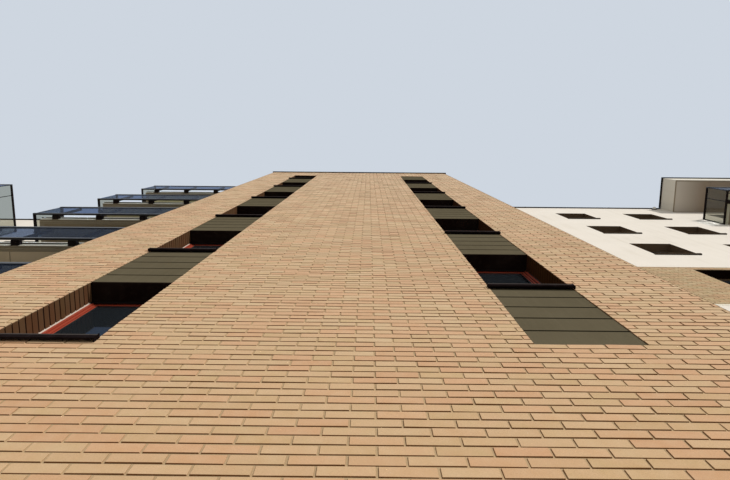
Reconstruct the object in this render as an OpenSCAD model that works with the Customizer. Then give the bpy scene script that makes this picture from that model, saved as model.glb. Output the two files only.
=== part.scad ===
// Apartment block: a brick stair tower in front of a seven-storey block with balconies.
// Millimetres, +Z up, ground at Z = 0, the street front faces -Y, the tower stands at X = 0.
// Plan depths below are counted from the tower's front face, and plan() centres them on Y = 0.

/* [Brickwork] */
// Length of one brick with its joint
brick_module = 225; // [200:5:260]
// Mortar joint
joint = 10; // [6:1:14]

/* [Storeys] */
// Top of the ground floor slab
ground_floor_z = 150; // [75:25:300]
// Level of the first upper floor
first_floor_z = 4650; // [3900:75:5550]
// Floor to floor height of the upper storeys
storey_h = 2775; // [2325:75:3375]
// Number of upper storeys
storeys = 6; // [3:1:8]
// Thickness of a floor slab
slab_t = 250; // [200:10:350]
// Parapet wall of the wings above the roof slab
parapet_h = 750; // [600:75:1125]
// Parapet wall of the stair tower above its roof slab
tower_parapet_h = 300; // [225:75:450]

/* [Stair tower] */
// Bricks across each corner pier of the tower
pier_bricks = 4; // [3:0.5:6]
// Bricks across the wall between the two window columns
centre_bricks = 11.5; // [9:0.5:15]
// Bricks across a column of windows
column_bricks = 3; // [2:1:5]
// Level of the first landing behind the tower's left windows
first_landing_z = 4050; // [3375:75:4875]
// Sill height of the tower's windows above their landing
tower_sill_h = 750; // [600:75:900]
// Height of the tower's window openings
tower_window_h = 1425; // [1200:75:1725]
// Height of the right column's first sill over the left one's
right_sill_rise = 1350; // [1125:75:1620]
// Boards in one spandrel panel
boards = 5; // [3:1:8]
// Open joint between two boards
board_gap = 10; // [4:1:20]
// Thickness of a board
board_t = 22; // [15:1:30]
// Setback of the boards from the brick face
board_setback = 3; // [2:1:20]
// Bevel along the front edges of a board
board_bevel = 4; // [1:0.5:8]

/* [Walls] */
// Thickness of the outside walls
wall_t = 340; // [280:10:420]
// Length of the whole block
block_l = 28800; // [25200:225:34560]
// Depth from the tower's front face to the rear face
block_depth = 12000; // [10000:100:14400]
// Setback of the left wing behind the tower's front face
left_setback = 1750; // [1455:5:2100]
// Setback of the right wing behind the tower's front face
right_setback = 1175; // [975:5:1410]
// Depth of the brick base's and brick band's lower edge below a floor level
band_drop = 300; // [225:75:450]
// Depth of the brick band's upper edge below a floor level
band_top_drop = 525; // [450:75:600]
// Thickness of the metal coping
coping_t = 75; // [40:5:120]
// Overhang of the coping
coping_lip = 30; // [15:5:60]

/* [Windows] */
// Sill height of the wings' windows above the floor
sill_h = 790; // [640:10:950]
// Height of the wings' window openings
window_h = 1300; // [1080:10:1560]
// Width of a wing window
wing_window_w = 945; // [800:5:1140]
// Left edge of the right wing's first window column
wing_window_x = 6330; // [5900:10:6700]
// Distance between two window columns of a wing
wing_window_pitch = 2150; // [1790:10:2580]
// Depth of the window reveal
reveal = 170; // [100:10:220]
// Face width of a window frame member
frame_w = 70; // [50:5:95]
// Depth of a window frame
frame_d = 75; // [60:5:100]
// Face width of the sash, as a part of the frame member
sash_w = 34; // [26:1:44]
// Setback of the sash from the frame's face
sash_step = 10; // [6:1:14]
// Face width of the bead that holds the glass
bead_w = 12; // [8:1:16]
// Setback of the bead from the frame's face
bead_step = 18; // [16:1:22]
// Thickness of the metal that lines the wings' reveals
liner_t = 5; // [2:0.5:8]
// Thickness of the double glazing
glass_t = 28; // [20:2:44]
// How far a sill stands out from the wall
sill_out = 33; // [20:1:60]
// Height of a sill's front fascia
sill_fascia = 60; // [40:5:90]
// Thickness of the folded sheet of a sill
sheet_t = 4; // [2:0.5:6]
// How far a sill runs past its opening at each end
sill_horn = 6; // [4:1:30]
// Rise of the stop end above the front edge of a sill
stop_end_h = 20; // [12:1:40]

/* [Balconies] */
// Length of a balcony slab
balcony_l = 3120; // [2600:10:3740]
// Near end of the outer balconies, from the middle of the block
outer_balcony_x = 10540; // [10250:10:10750]
// Front of the left wing's balcony slabs behind the tower's front face
balcony_front = 410; // [340:5:490]
// Front of the right wing's balcony slabs behind the tower's front face
right_balcony_front = 310; // [260:5:370]
// Space between a slab's edge and its glass
glass_offset = 110; // [100:5:135]
// Thickness of a balcony slab
balcony_t = 200; // [160:10:240]
// Height of the lip round the top edge of a slab
slab_lip_h = 60; // [40:5:80]
// How far the lip stands out from the slab
slab_lip = 20; // [10:1:30]
// Width and depth of the drip groove under a slab's front edge
drip = 14; // [8:1:20]
// Height of the glass balustrade
balustrade_h = 1100; // [920:10:1320]
// Thickness of the balustrade glass
balustrade_t = 18; // [12:1:24]
// Width of the balustrade rails
rail_w = 34; // [26:2:44]
// Height of the top rail
top_rail_h = 80; // [60:5:100]
// Height of the bottom rail
bottom_rail_h = 60; // [40:5:75]
// Width of the channel that holds the side glass to the wall
channel_w = 34; // [26:2:44]
// Depth of that channel
channel_d = 25; // [18:1:35]
// Posts along one balcony front
posts = 4; // [2:1:6]
// Distance from a slab's end to its first post
post_margin = 300; // [200:10:400]
// Distance from a slab's front to the post in a balustrade's side
side_post_y = 220; // [150:10:300]
// Depth of the flat bar of a post
post_d = 50; // [35:5:60]
// Thickness of the flat bar of a post
post_t = 12; // [8:1:20]
// Width of the bracket that carries a post
bracket_w = 100; // [60:5:140]
// Width of a balcony door opening
door_w = 1810; // [1500:5:2180]
// Front of the roof canopy behind the tower's front face
canopy_front = 115; // [95:5:140]
// How far the roof canopy runs past the balconies at each end
canopy_end = 140; // [100:10:200]
// Thickness of the roof canopy's floor
canopy_t = 100; // [80:10:150]
// Thickness of the upstands round the roof canopy
upstand_t = 150; // [100:10:200]

/* [Wall light] */
// Distance of the round light from the roof canopy
light_offset = 280; // [200:10:400]
// Depth of the light's centre below the top of the wall
light_drop = 140; // [110:5:200]
// Diameter of the light
light_d = 140; // [110:5:180]

/* [Entrance] */
// Width of the entrance opening
entrance_w = 1360; // [1130:5:1630]
// Height of the entrance opening above the ground floor
entrance_h = 2400; // [2000:25:2880]
// Middle of the entrance, from the middle of the block
entrance_x = 4500; // [4300:25:4900]

/* [Hidden] */

// Colours of the finishes
BRICK = "#cda982";
RENDER = "#ebe2d4";
BOARD = "#5f5c4b";
DARK = "#1b1a1c";
FRAME_RED = "#8f3a2b";
GLASS = "#4a5f78";
LAMP = "#d9dbd4";
CONCRETE = "#b9b4aa";

// Widths across the tower, in whole and half bricks
pier_w = pier_bricks * brick_module - joint;
column_w = column_bricks * brick_module + joint;
centre_w = centre_bricks * brick_module - joint;
// Half the tower's width, to a whole millimetre
half_tower = round(pier_w + column_w + centre_w / 2);
half_block = block_l / 2;
// Small clearance between pieces that only stand beside each other
gap = 20;
// Open well between the left and right landings
landing_gap = 200;

// Levels
upper = [for (i = [0 : storeys - 1]) i];
function floor_z(i) = first_floor_z + i * storey_h;
roof_z = floor_z(storeys);
wall_top = roof_z + parapet_h;
tower_top = roof_z + tower_parapet_h;
function wing_sill(i) = floor_z(i) + sill_h;
function left_sill(i) = first_landing_z + i * storey_h + tower_sill_h;
slot_base = left_sill(0);
slot_top = left_sill(storeys - 1) + tower_window_h;
base_top = floor_z(0) - band_drop;
band_base = floor_z(2) - band_drop;
band_top = floor_z(3) - band_top_drop;

// Window lists: each entry is [left edge, sill level, width, height]
left_column_x = -half_tower + pier_w;
right_column_x = half_tower - pier_w - column_w;
left_windows = [for (i = upper) [left_column_x, left_sill(i), column_w, tower_window_h]];
right_windows = [for (i = [0 : storeys - 2])
    [right_column_x, left_sill(i) + right_sill_rise, column_w, tower_window_h]];
tower_windows = concat(left_windows, right_windows);
left_panels = [for (i = [0 : storeys - 2])
    [left_column_x, left_sill(i) + tower_window_h, column_w, storey_h - tower_window_h]];
right_panels = [for (i = upper)
    let (base = i == 0 ? slot_base : left_sill(i - 1) + right_sill_rise + tower_window_h,
         top = i == storeys - 1 ? slot_top : left_sill(i) + right_sill_rise)
    [right_column_x, base, column_w, top - base]];
panels = concat(left_panels, right_panels);
board_back = board_setback + board_t;

// Balcony stacks: each entry is [left end, right end, plan depth of the wall, plan depth of the front]
outer_end_x = outer_balcony_x + balcony_l;
inner_stack = [-half_tower - gap - balcony_l, -half_tower - gap, left_setback, balcony_front];
left_stack = [-outer_end_x, -outer_balcony_x, left_setback, balcony_front];
right_stack = [outer_balcony_x, outer_end_x, right_setback, right_balcony_front];
stacks = [inner_stack, left_stack, right_stack];

wing_columns = [wing_window_x, wing_window_x + wing_window_pitch];
// The left wing's columns stand midway between its two balcony stacks
left_bay_middle = (inner_stack[0] - outer_balcony_x) / 2;
left_columns = [for (x = [-1, 1]) left_bay_middle + x * wing_window_pitch / 2 - wing_window_w / 2];
function wing_windows(columns) =
    [for (x = columns, i = upper) [x, wing_sill(i), wing_window_w, window_h]];
ground_sill = ground_floor_z + sill_h;
function ground_windows(columns) = [for (x = columns) [x, ground_sill, wing_window_w, window_h]];
right_wing_windows = concat(ground_windows(wing_columns), wing_windows(wing_columns));
left_wing_windows = concat(ground_windows(left_columns), wing_windows(left_columns));

// The doors' heads line up with the windows' heads
door_h = sill_h + window_h;
function stack_doors(stack) =
    [for (i = upper) [(stack[0] + stack[1] - door_w) / 2, floor_z(i), door_w, door_h]];

// The rear side has the window columns of both wings and one above each balcony bay
rear_columns = concat(wing_columns, [for (x = wing_columns) -x - wing_window_w],
    [for (x = [-1, 1]) x * (outer_balcony_x + balcony_l / 2) - wing_window_w / 2],
    [for (x = [-1, 1]) x * wing_window_pitch - wing_window_w / 2]);
rear_windows = wing_windows(rear_columns);
rear_ground_windows = ground_windows(rear_columns);
inner_rear = block_depth - wall_t;

// Centre the plan on the block: plan depth 0 is the tower's front face
module plan() { translate([0, -block_depth / 2, 0]) children(); }

// A box given by its two corners
module corners(low, high) { translate(low) cube(high - low); }

// A wall in the XZ plane whose outside face is at plan depth y, cut by the listed openings
module wall(x0, x1, y, z0, z1, openings = []) {
    plan() difference() {
        corners([x0, y, z0], [x1, y + wall_t, z1]);
        for (o = openings) corners([o[0], y - 1, o[1]], [o[0] + o[2], y + wall_t + 1, o[1] + o[3]]);
    }
}

// The part of a list of openings that lies between two levels
function between(list, low, high) = [for (o = list) if (o[1] >= low && o[1] < high) o];

// A block in an opening, inset from its four sides, between two plan depths
module inset_block(o, inset, y0, y1) {
    corners([o[0] + inset, y0, o[1] + inset], [o[0] + o[2] - inset, y1, o[1] + o[3] - inset]);
}

// A window frame that fills an opening, from its outside face at plan depth y towards dir.
// The fixed frame, the sash and the bead step back one behind the other.
module frame(o, y, dir = 1) {
    steps = [[frame_w - sash_w, sash_step], [frame_w - bead_w, bead_step], [frame_w, frame_d + 1]];
    plan() translate([0, y, 0]) mirror([0, dir < 0 ? 1 : 0, 0]) difference() {
        inset_block(o, 0, 0, frame_d);
        for (s = steps) inset_block(o, s[0], -1, s[1]);
    }
}

// A lining of sheet metal on the head and jambs of a reveal, between two plan depths
module reveal_liner(o, y0, y1) {
    plan() difference() {
        corners([o[0], y0, o[1]], [o[0] + o[2], y1, o[1] + o[3]]);
        corners([o[0] + liner_t, y0 - 1, o[1] - 1],
            [o[0] + o[2] - liner_t, y1 + 1, o[1] + o[3] - liner_t]);
    }
}

// The pane inside a frame
module pane(o, y) {
    middle = y + (frame_d - glass_t) / 2;
    plan() corners([o[0] + frame_w, middle, o[1] + frame_w],
        [o[0] + o[2] - frame_w, middle + glass_t, o[1] + o[3] - frame_w]);
}

// Extrude an outline drawn in plan depth and height from x0 over a length along X
module along_x(x0, length, outline) {
    translate([x0, 0, 0]) rotate([90, 0, 90]) linear_extrude(length) polygon(outline);
}

// A folded metal sill: a sloping tray, a front fascia with a turned-in edge, and stop ends.
// dir is -1 for the front and 1 behind, trim shortens the tray where the reveal is lined.
module sill(o, y, dir, trim = 0) {
    front_top = 10;
    back_top = 24;
    face_top = 12;
    face_gap = 0.3;
    turn_in = 10;
    low = front_top - sill_fascia;
    inner = sheet_t - sill_out;
    plan() translate([0, y, o[1]]) mirror([0, dir > 0 ? 1 : 0, 0]) {
        along_x(o[0] + trim, o[2] - 2 * trim, [[-face_gap, face_top], [reveal, back_top], [reveal, 0],
            [0, 0], [0, face_top - sheet_t], [-face_gap, face_top - sheet_t]]);
        along_x(o[0] - sill_horn, o[2] + 2 * sill_horn, [[-sill_out, front_top],
            [-face_gap, face_top], [-face_gap, face_top - sheet_t], [inner, front_top - sheet_t],
            [inner, low + sheet_t], [inner + turn_in, low + sheet_t], [inner + turn_in, low],
            [-sill_out, low]]);
        for (x = [o[0] - sill_horn, o[0] + o[2]])
            corners([x, -sill_out, low], [x + sill_horn, -face_gap, front_top + stop_end_h]);
    }
}

module tower_front_wall() {
    slots = [for (x = [left_column_x, right_column_x]) [x, slot_base, column_w, slot_top - slot_base]];
    color(BRICK) wall(-half_tower, half_tower, 0, 0, tower_top, slots);
}

module tower_side_wall(side, setback) {
    inside = half_tower - wall_t;
    plan() corners([side < 0 ? -half_tower : inside, wall_t, 0],
        [side < 0 ? -inside : half_tower, setback + wall_t, tower_top]);
}
module tower_left_wall() { color(BRICK) tower_side_wall(-1, left_setback); }
module tower_right_wall() { color(BRICK) tower_side_wall(1, right_setback); }

// A slab whose top is at level z
module slab(x0, x1, y0, y1, z, thickness = slab_t) {
    plan() corners([x0, y0, z - thickness], [x1, y1, z]);
}

// Landings at the floor levels behind the left windows, and half a storey up behind the right ones
module landings(x0, x1, levels) {
    back = right_setback + wall_t;
    slab(x0, x1, wall_t, back, ground_floor_z, ground_floor_z);
    for (z = levels) slab(x0, x1, wall_t, back, z);
}
module tower_left_landings() {
    color(CONCRETE)
        landings(-half_tower + wall_t, -landing_gap / 2, [for (o = left_windows) o[1] - tower_sill_h]);
}
module tower_right_landings() {
    color(CONCRETE)
        landings(landing_gap / 2, half_tower - wall_t, [for (o = right_windows) o[1] - tower_sill_h]);
}

module tower_roof() {
    inside = half_tower - wall_t;
    color(CONCRETE) slab(-inside, inside, wall_t, right_setback + wall_t, roof_z);
}

// A coping over a wall given by its plan corners
module coping(x0, x1, y0, y1) {
    plan() corners([x0, y0, wall_top], [x1, y1, wall_top + coping_t]);
}

// Plan of the tower's coping on one side: its outer lip stops at the wing's wall, which stands higher
function coping_side(side, setback) = [
    [side * (half_tower + coping_lip), -coping_lip],
    [side * (half_tower + coping_lip), setback - joint],
    [side * (half_tower - joint), setback - joint],
    [side * (half_tower - joint), setback + wall_t],
    [side * (half_tower - wall_t - coping_lip), setback + wall_t],
    [side * (half_tower - wall_t - coping_lip), wall_t + coping_lip]];
module tower_coping() {
    left = coping_side(-1, left_setback);
    right = coping_side(1, right_setback);
    color(DARK) plan() translate([0, 0, tower_top]) linear_extrude(coping_t)
        polygon(concat(right, [for (i = [len(left) - 1 : -1 : 0]) left[i]]));
}

module spandrel_backing() {
    color(CONCRETE) plan() for (p = panels)
        corners([p[0], board_back, p[1]], [p[0] + p[2], wall_t, p[1] + p[3]]);
}

module spandrel_boards() {
    b = board_bevel;
    color(BOARD) plan() for (p = panels, k = [0 : boards - 1]) {
        pitch = p[3] / boards;
        h = pitch - board_gap;
        translate([0, board_setback, p[1] + k * pitch + board_gap / 2])
            along_x(p[0], p[2], [[b, 0], [board_t, 0], [board_t, h], [b, h], [0, h - b], [0, b]]);
    }
}

module tower_sills() { color(DARK) for (o = tower_windows) sill(o, 0, -1); }

module tower_head_trims() {
    trim_t = 20;
    color(DARK) plan() for (o = tower_windows)
        corners([o[0], board_setback, o[1] + o[3] - trim_t], [o[0] + o[2], reveal, o[1] + o[3]]);
}

module tower_window_frames() { color(FRAME_RED) for (o = tower_windows) frame(o, reveal); }
module tower_window_glass() { color(GLASS) for (o = tower_windows) pane(o, reveal); }

// Front walls of the wings
left_doors = concat(stack_doors(inner_stack), stack_doors(left_stack));
right_doors = stack_doors(right_stack);
entrance = [entrance_x - entrance_w / 2, ground_floor_z, entrance_w, entrance_h];
left_openings = concat(left_wing_windows, left_doors);
right_openings = concat(right_wing_windows, right_doors, [entrance]);

module left_wing_wall(z0, z1) {
    wall(-half_block, -half_tower, left_setback, z0, z1, between(left_openings, z0, z1));
}
module right_wing_wall(z0, z1) {
    wall(half_tower, half_block, right_setback, z0, z1, between(right_openings, z0, z1));
}
module left_base_wall() { color(BRICK) left_wing_wall(0, base_top); }
module left_rendered_wall() { color(RENDER) left_wing_wall(base_top, wall_top); }
module right_base_wall() { color(BRICK) right_wing_wall(0, base_top); }
module right_lower_wall() { color(RENDER) right_wing_wall(base_top, band_base); }
module right_brick_band() { color(BRICK) right_wing_wall(band_base, band_top); }
module right_upper_wall() { color(RENDER) right_wing_wall(band_top, wall_top); }

module end_wall(x0, setback) {
    plan() corners([x0, setback + wall_t, 0], [x0 + wall_t, inner_rear, wall_top]);
}
module left_end_wall() { color(RENDER) end_wall(-half_block, left_setback); }
module right_end_wall() { color(RENDER) end_wall(half_block - wall_t, right_setback); }
module rear_base_wall() {
    color(BRICK) wall(-half_block, half_block, inner_rear, 0, base_top, rear_ground_windows);
}
module rear_wall() {
    color(RENDER) wall(-half_block, half_block, inner_rear, base_top, wall_top, rear_windows);
}

module wing_floors(x0, x1, setback) {
    slab(x0, x1, setback + wall_t, inner_rear, ground_floor_z, ground_floor_z);
    for (i = [0 : storeys]) slab(x0, x1, setback + wall_t, inner_rear, floor_z(i));
}
// The two wings' slabs meet at the inside face of the tower's left wall
wing_joint_x = -half_tower + wall_t;
module left_floors() { color(CONCRETE) wing_floors(-half_block + wall_t, wing_joint_x, left_setback); }
module right_floors() { color(CONCRETE) wing_floors(wing_joint_x, half_block - wall_t, right_setback); }

module front_copings() {
    color(DARK) {
        coping(-half_block - coping_lip, -half_tower,
            left_setback - coping_lip, left_setback + wall_t + coping_lip);
        coping(half_tower, half_block + coping_lip,
            right_setback - coping_lip, right_setback + wall_t + coping_lip);
    }
}
module end_copings() {
    rear_y = inner_rear - coping_lip;
    color(DARK) {
        coping(-half_block - coping_lip, -half_block + wall_t + coping_lip,
            left_setback + wall_t + coping_lip, rear_y);
        coping(half_block - wall_t - coping_lip, half_block + coping_lip,
            right_setback + wall_t + coping_lip, rear_y);
    }
}
module rear_coping() {
    color(DARK) coping(-half_block - coping_lip, half_block + coping_lip,
        inner_rear - coping_lip, block_depth + coping_lip);
}

// A frame behind a lined reveal in a front wall whose face is at plan depth y
module lined_frame(o, y) {
    frame(o, y + reveal);
    reveal_liner(o, y, y + reveal);
}

module wing_window_frames() {
    color(DARK) {
        for (o = left_wing_windows) lined_frame(o, left_setback);
        for (o = right_wing_windows) lined_frame(o, right_setback);
    }
}
module wing_window_glass() {
    color(GLASS) {
        for (o = left_wing_windows) pane(o, left_setback + reveal);
        for (o = right_wing_windows) pane(o, right_setback + reveal);
    }
}
module wing_sills() {
    color(DARK) {
        for (o = left_wing_windows) sill(o, left_setback, -1, liner_t);
        for (o = right_wing_windows) sill(o, right_setback, -1, liner_t);
    }
}

all_rear_windows = concat(rear_ground_windows, rear_windows);
rear_frame_y = block_depth - reveal;
module rear_window_frames() {
    color(DARK) for (o = all_rear_windows) {
        frame(o, rear_frame_y, -1);
        reveal_liner(o, rear_frame_y, block_depth);
    }
}
module rear_window_glass() {
    color(GLASS) for (o = all_rear_windows) pane(o, rear_frame_y - frame_d);
}
module rear_sills() { color(DARK) for (o = all_rear_windows) sill(o, block_depth, 1, liner_t); }

// The inner stack meets the tower, so only its left end is free
function meets_tower(s) = s == inner_stack;
// Left and right limits of what stands out from a slab's free ends
function out_x0(s, out) = s[0] - out;
function out_x1(s, out) = meets_tower(s) ? s[1] : s[1] + out;

// A balcony slab with a lip round its top edge and a drip groove under its front
module balcony_slab(s, z) {
    low = z - balcony_t;
    groove_y = s[3] + 2 * drip;
    difference() {
        union() {
            corners([s[0], s[3], low], [s[1], s[2], z]);
            corners([out_x0(s, slab_lip), s[3] - slab_lip, z - slab_lip_h],
                [out_x1(s, slab_lip), s[2], z]);
        }
        corners([s[0] - 1, groove_y, low - 1], [s[1] + 1, groove_y + drip, low + drip]);
    }
}
module balcony_slabs() {
    color(RENDER) plan() for (s = stacks, i = upper) balcony_slab(s, floor_z(i));
}

// Balustrade of one stack at one level: glass plane in front of the slab, from its underside up
function glass_y(s) = s[3] - glass_offset;
function balustrade_base(i) = floor_z(i) - balcony_t;
function free_ends(s) = concat([out_x0(s, glass_offset)],
    meets_tower(s) ? [] : [out_x1(s, glass_offset) - balustrade_t]);
rail_side = (rail_w - balustrade_t) / 2;
glass_top = balustrade_h - top_rail_h;
// Lower and upper edge of the two rails, above the balustrade's base
rail_levels = [[0, bottom_rail_h], [glass_top, balustrade_h]];

module balcony_front_glass() {
    color(GLASS) plan() for (s = stacks, i = upper)
        corners([out_x0(s, glass_offset), glass_y(s), balustrade_base(i) + bottom_rail_h],
            [out_x1(s, glass_offset), glass_y(s) + balustrade_t, balustrade_base(i) + glass_top]);
}
module balcony_side_glass() {
    color(GLASS) plan() for (s = stacks, i = upper, x = free_ends(s))
        corners([x, glass_y(s) + balustrade_t, balustrade_base(i) + bottom_rail_h],
            [x + balustrade_t, s[2] - channel_d / 2, balustrade_base(i) + glass_top]);
}
module balcony_front_rails() {
    color(DARK) plan() for (s = stacks, i = upper, r = rail_levels)
        corners([out_x0(s, glass_offset + rail_side), glass_y(s) - rail_side, balustrade_base(i) + r[0]],
            [out_x1(s, glass_offset + rail_side), glass_y(s) + balustrade_t + rail_side,
            balustrade_base(i) + r[1]]);
}
// The upright channel on the wall that takes the end of a side glass, from x at level z
module wall_channel(s, x, z) {
    middle = x + balustrade_t / 2;
    difference() {
        corners([middle - channel_w / 2, s[2] - channel_d, z + bottom_rail_h],
            [middle + channel_w / 2, s[2], z + glass_top]);
        corners([x, s[2] - channel_d - 1, z], [x + balustrade_t, s[2] - channel_d / 2, z + balustrade_h]);
    }
}
module balcony_side_rails() {
    color(DARK) plan() for (s = stacks, i = upper, x = free_ends(s)) {
        for (r = rail_levels)
            corners([x - rail_side, glass_y(s) + balustrade_t + rail_side, balustrade_base(i) + r[0]],
                [x + balustrade_t + rail_side, s[2], balustrade_base(i) + r[1]]);
        wall_channel(s, x, balustrade_base(i));
    }
}

// A post of flat bar behind the rails, on the bracket that holds it off the slab's edge.
// It stands at X = 0 and reaches from plan depth 0, behind the rails, back to the slab.
post_reach = glass_offset - balustrade_t - rail_side;
module post() {
    bracket_h = balcony_t - slab_lip_h - 10;
    bevel = 20;
    along_x(-post_t / 2, post_t, [[0, 0], [post_d, 0], [post_d, balustrade_h], [0, balustrade_h]]);
    along_x(-bracket_w / 2, bracket_w, [[bevel, 0], [post_reach, 0], [post_reach, bracket_h],
        [bevel, bracket_h], [0, bracket_h - bevel], [0, bevel]]);
}
module balcony_brackets() {
    pitch = (balcony_l - 2 * post_margin) / (posts - 1);
    color(DARK) plan() for (s = stacks, i = upper) translate([0, 0, balustrade_base(i)]) {
        for (k = [0 : posts - 1])
            translate([s[0] + post_margin + k * pitch, s[3] - post_reach, 0]) post();
        translate([s[0] - post_reach, s[3] + side_post_y, 0]) rotate([0, 0, -90]) post();
        if (!meets_tower(s))
            translate([s[1] + post_reach, s[3] + side_post_y, 0]) rotate([0, 0, 90]) post();
    }
}

// The two leaves of each door, as a list of openings
function leaves(doors) =
    [for (o = doors, k = [0, 1]) [o[0] + k * o[2] / 2, o[1], o[2] / 2, o[3]]];
module balcony_door_frames() {
    color(DARK) {
        for (o = leaves(left_doors)) frame(o, left_setback + reveal);
        for (o = leaves(right_doors)) frame(o, right_setback + reveal);
    }
}
module balcony_door_glass() {
    color(GLASS) {
        for (o = leaves(left_doors)) pane(o, left_setback + reveal);
        for (o = leaves(right_doors)) pane(o, right_setback + reveal);
    }
}

// The roof runs forward over the right wing's balconies as a white tray
canopy_x0 = right_stack[0] - canopy_end;
canopy_x1 = right_stack[1] + canopy_end;
module roof_canopy() {
    color(RENDER) plan() difference() {
        corners([canopy_x0, canopy_front, roof_z - canopy_t], [canopy_x1, right_setback, wall_top]);
        corners([canopy_x0 + upstand_t, canopy_front + upstand_t, roof_z],
            [canopy_x1 - upstand_t, right_setback + 1, wall_top + 1]);
    }
}
module canopy_coping() {
    back = right_setback - coping_lip - joint;
    inset = upstand_t + coping_lip;
    color(DARK) plan() translate([0, 0, wall_top]) linear_extrude(coping_t) difference() {
        translate([canopy_x0 - coping_lip, canopy_front - coping_lip])
            square([canopy_x1 - canopy_x0 + 2 * coping_lip, back - canopy_front + coping_lip]);
        translate([canopy_x0 + inset, canopy_front + inset])
            square([canopy_x1 - canopy_x0 - 2 * inset, back - canopy_front]);
    }
}

// A round light on the wall beside the canopy: a short drum with a domed cover
module wall_light() {
    rim = light_d / 2;
    drum_h = 30;
    dome_r = rim - 8;
    dome = [for (a = [0 : 10 : 90]) [dome_r * cos(a), drum_h + dome_r * sin(a)]];
    color(LAMP) plan() translate([canopy_x0 - light_offset, right_setback, wall_top - light_drop])
        rotate([90, 0, 0]) rotate_extrude($fn = 48) polygon(concat([[0, 0], [rim, 0], [rim, drum_h]], dome));
}

module entrance_frame() { color(DARK) frame(entrance, right_setback + reveal); }

// One door leaf with two sunk panels and an upright pull bar, hinge side at X = 0.
// meeting is the X of the closing edge, negative for a leaf that is hinged on the right.
leaf_t = 50;
module door_leaf(w, h, meeting) {
    stile = 110;
    lock_rail = 950;
    sunk = 12;
    bar_d = 30;
    bar_h = 700;
    bar_x = meeting > 0 ? w - stile / 2 : stile / 2;
    stand_off = 60;
    difference() {
        cube([w, leaf_t, h]);
        for (z = [[stile, lock_rail - stile], [lock_rail, h - stile]], y = [-1, leaf_t - sunk])
            corners([stile, y, z[0]], [w - stile, y + sunk + 1, z[1]]);
    }
    translate([bar_x, -stand_off, lock_rail - bar_h / 4]) cylinder(h = bar_h, d = bar_d, $fn = 24);
    for (z = [0, bar_h / 2])
        translate([bar_x, 0, lock_rail + z]) rotate([90, 0, 0])
            cylinder(h = stand_off, d = bar_d / 2, $fn = 24);
}

// Two leaves that meet in the middle of the frame
module entrance_door() {
    meeting_gap = 6;
    low_y = right_setback + reveal + (frame_d - leaf_t) / 2;
    low_x = entrance[0] + frame_w;
    leaf_w = (entrance_w - 2 * frame_w - meeting_gap) / 2;
    leaf_h = entrance_h - 2 * frame_w;
    color(FRAME_RED) plan() for (side = [1, -1])
        translate([low_x + (side > 0 ? 0 : leaf_w + meeting_gap), low_y, entrance[1] + frame_w])
            door_leaf(leaf_w, leaf_h, side);
}

tower_front_wall();
tower_left_wall();
tower_right_wall();
tower_left_landings();
tower_right_landings();
tower_roof();
tower_coping();
spandrel_backing();
spandrel_boards();
tower_sills();
tower_head_trims();
tower_window_frames();
tower_window_glass();
left_base_wall();
left_rendered_wall();
right_base_wall();
right_lower_wall();
right_brick_band();
right_upper_wall();
left_end_wall();
right_end_wall();
rear_base_wall();
rear_wall();
left_floors();
right_floors();
front_copings();
end_copings();
rear_coping();
wing_window_frames();
wing_window_glass();
wing_sills();
rear_window_frames();
rear_window_glass();
rear_sills();
balcony_slabs();
balcony_front_glass();
balcony_side_glass();
balcony_front_rails();
balcony_side_rails();
balcony_brackets();
balcony_door_frames();
balcony_door_glass();
roof_canopy();
canopy_coping();
wall_light();
entrance_frame();
entrance_door();
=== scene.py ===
"""Apartment block seen from the foot of its brick stair tower.

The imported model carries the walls, slabs, frames and glass. This script dresses each of its
nodes and adds the pieces that are too fine for it: single bricks, the brick returns in the
window reveals, sealant and gaskets, soffit panels, tiles, coping straps and drips, roof felt,
joint profiles, linings, beads and ironmongery.
All lengths are metres in the frame's own axes: +Z up, -Y the street front, +X to the right.
"""
import logging
import math
from dataclasses import dataclass, field
from enum import Enum

import bpy
import numpy as np
from mathutils import Matrix


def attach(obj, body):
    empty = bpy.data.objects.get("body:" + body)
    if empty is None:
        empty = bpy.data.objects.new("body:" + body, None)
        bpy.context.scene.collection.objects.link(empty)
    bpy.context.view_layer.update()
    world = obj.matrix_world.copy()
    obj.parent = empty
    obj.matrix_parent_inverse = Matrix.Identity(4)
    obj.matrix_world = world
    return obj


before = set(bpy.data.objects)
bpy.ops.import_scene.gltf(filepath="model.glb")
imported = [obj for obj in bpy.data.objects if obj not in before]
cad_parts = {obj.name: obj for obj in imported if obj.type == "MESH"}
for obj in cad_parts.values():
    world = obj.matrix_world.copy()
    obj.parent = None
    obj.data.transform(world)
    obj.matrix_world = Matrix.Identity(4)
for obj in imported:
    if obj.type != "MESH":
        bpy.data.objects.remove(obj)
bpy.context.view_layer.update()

log = logging.getLogger("block")

Array = np.ndarray
Rgb = tuple[float, float, float]
Vector = tuple[float, float, float]
Socket = bpy.types.NodeSocket
Node = bpy.types.Node
Material = bpy.types.Material
Solids = tuple[Array, list[Array]]
TonedSolids = tuple[Array, list[Array], Array]
Sockets = dict[str, Socket]

BODY = "root"

# The block's layout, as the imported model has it.
FRONT_Y = -6.0
REAR_Y = 6.0
LEFT_WALL_Y = -4.25
RIGHT_WALL_Y = -4.825
HALF_TOWER = 2.864
HALF_BLOCK = 14.4
WALL_T = 0.34
REVEAL = 0.17
GROUND_FLOOR_Z = 0.15
FIRST_FLOOR_Z = 4.65
STOREY_H = 2.775
STOREYS = 6
ROOF_Z = FIRST_FLOOR_Z + STOREYS * STOREY_H
WALL_TOP = 22.05
TOWER_TOP = 21.6

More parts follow.
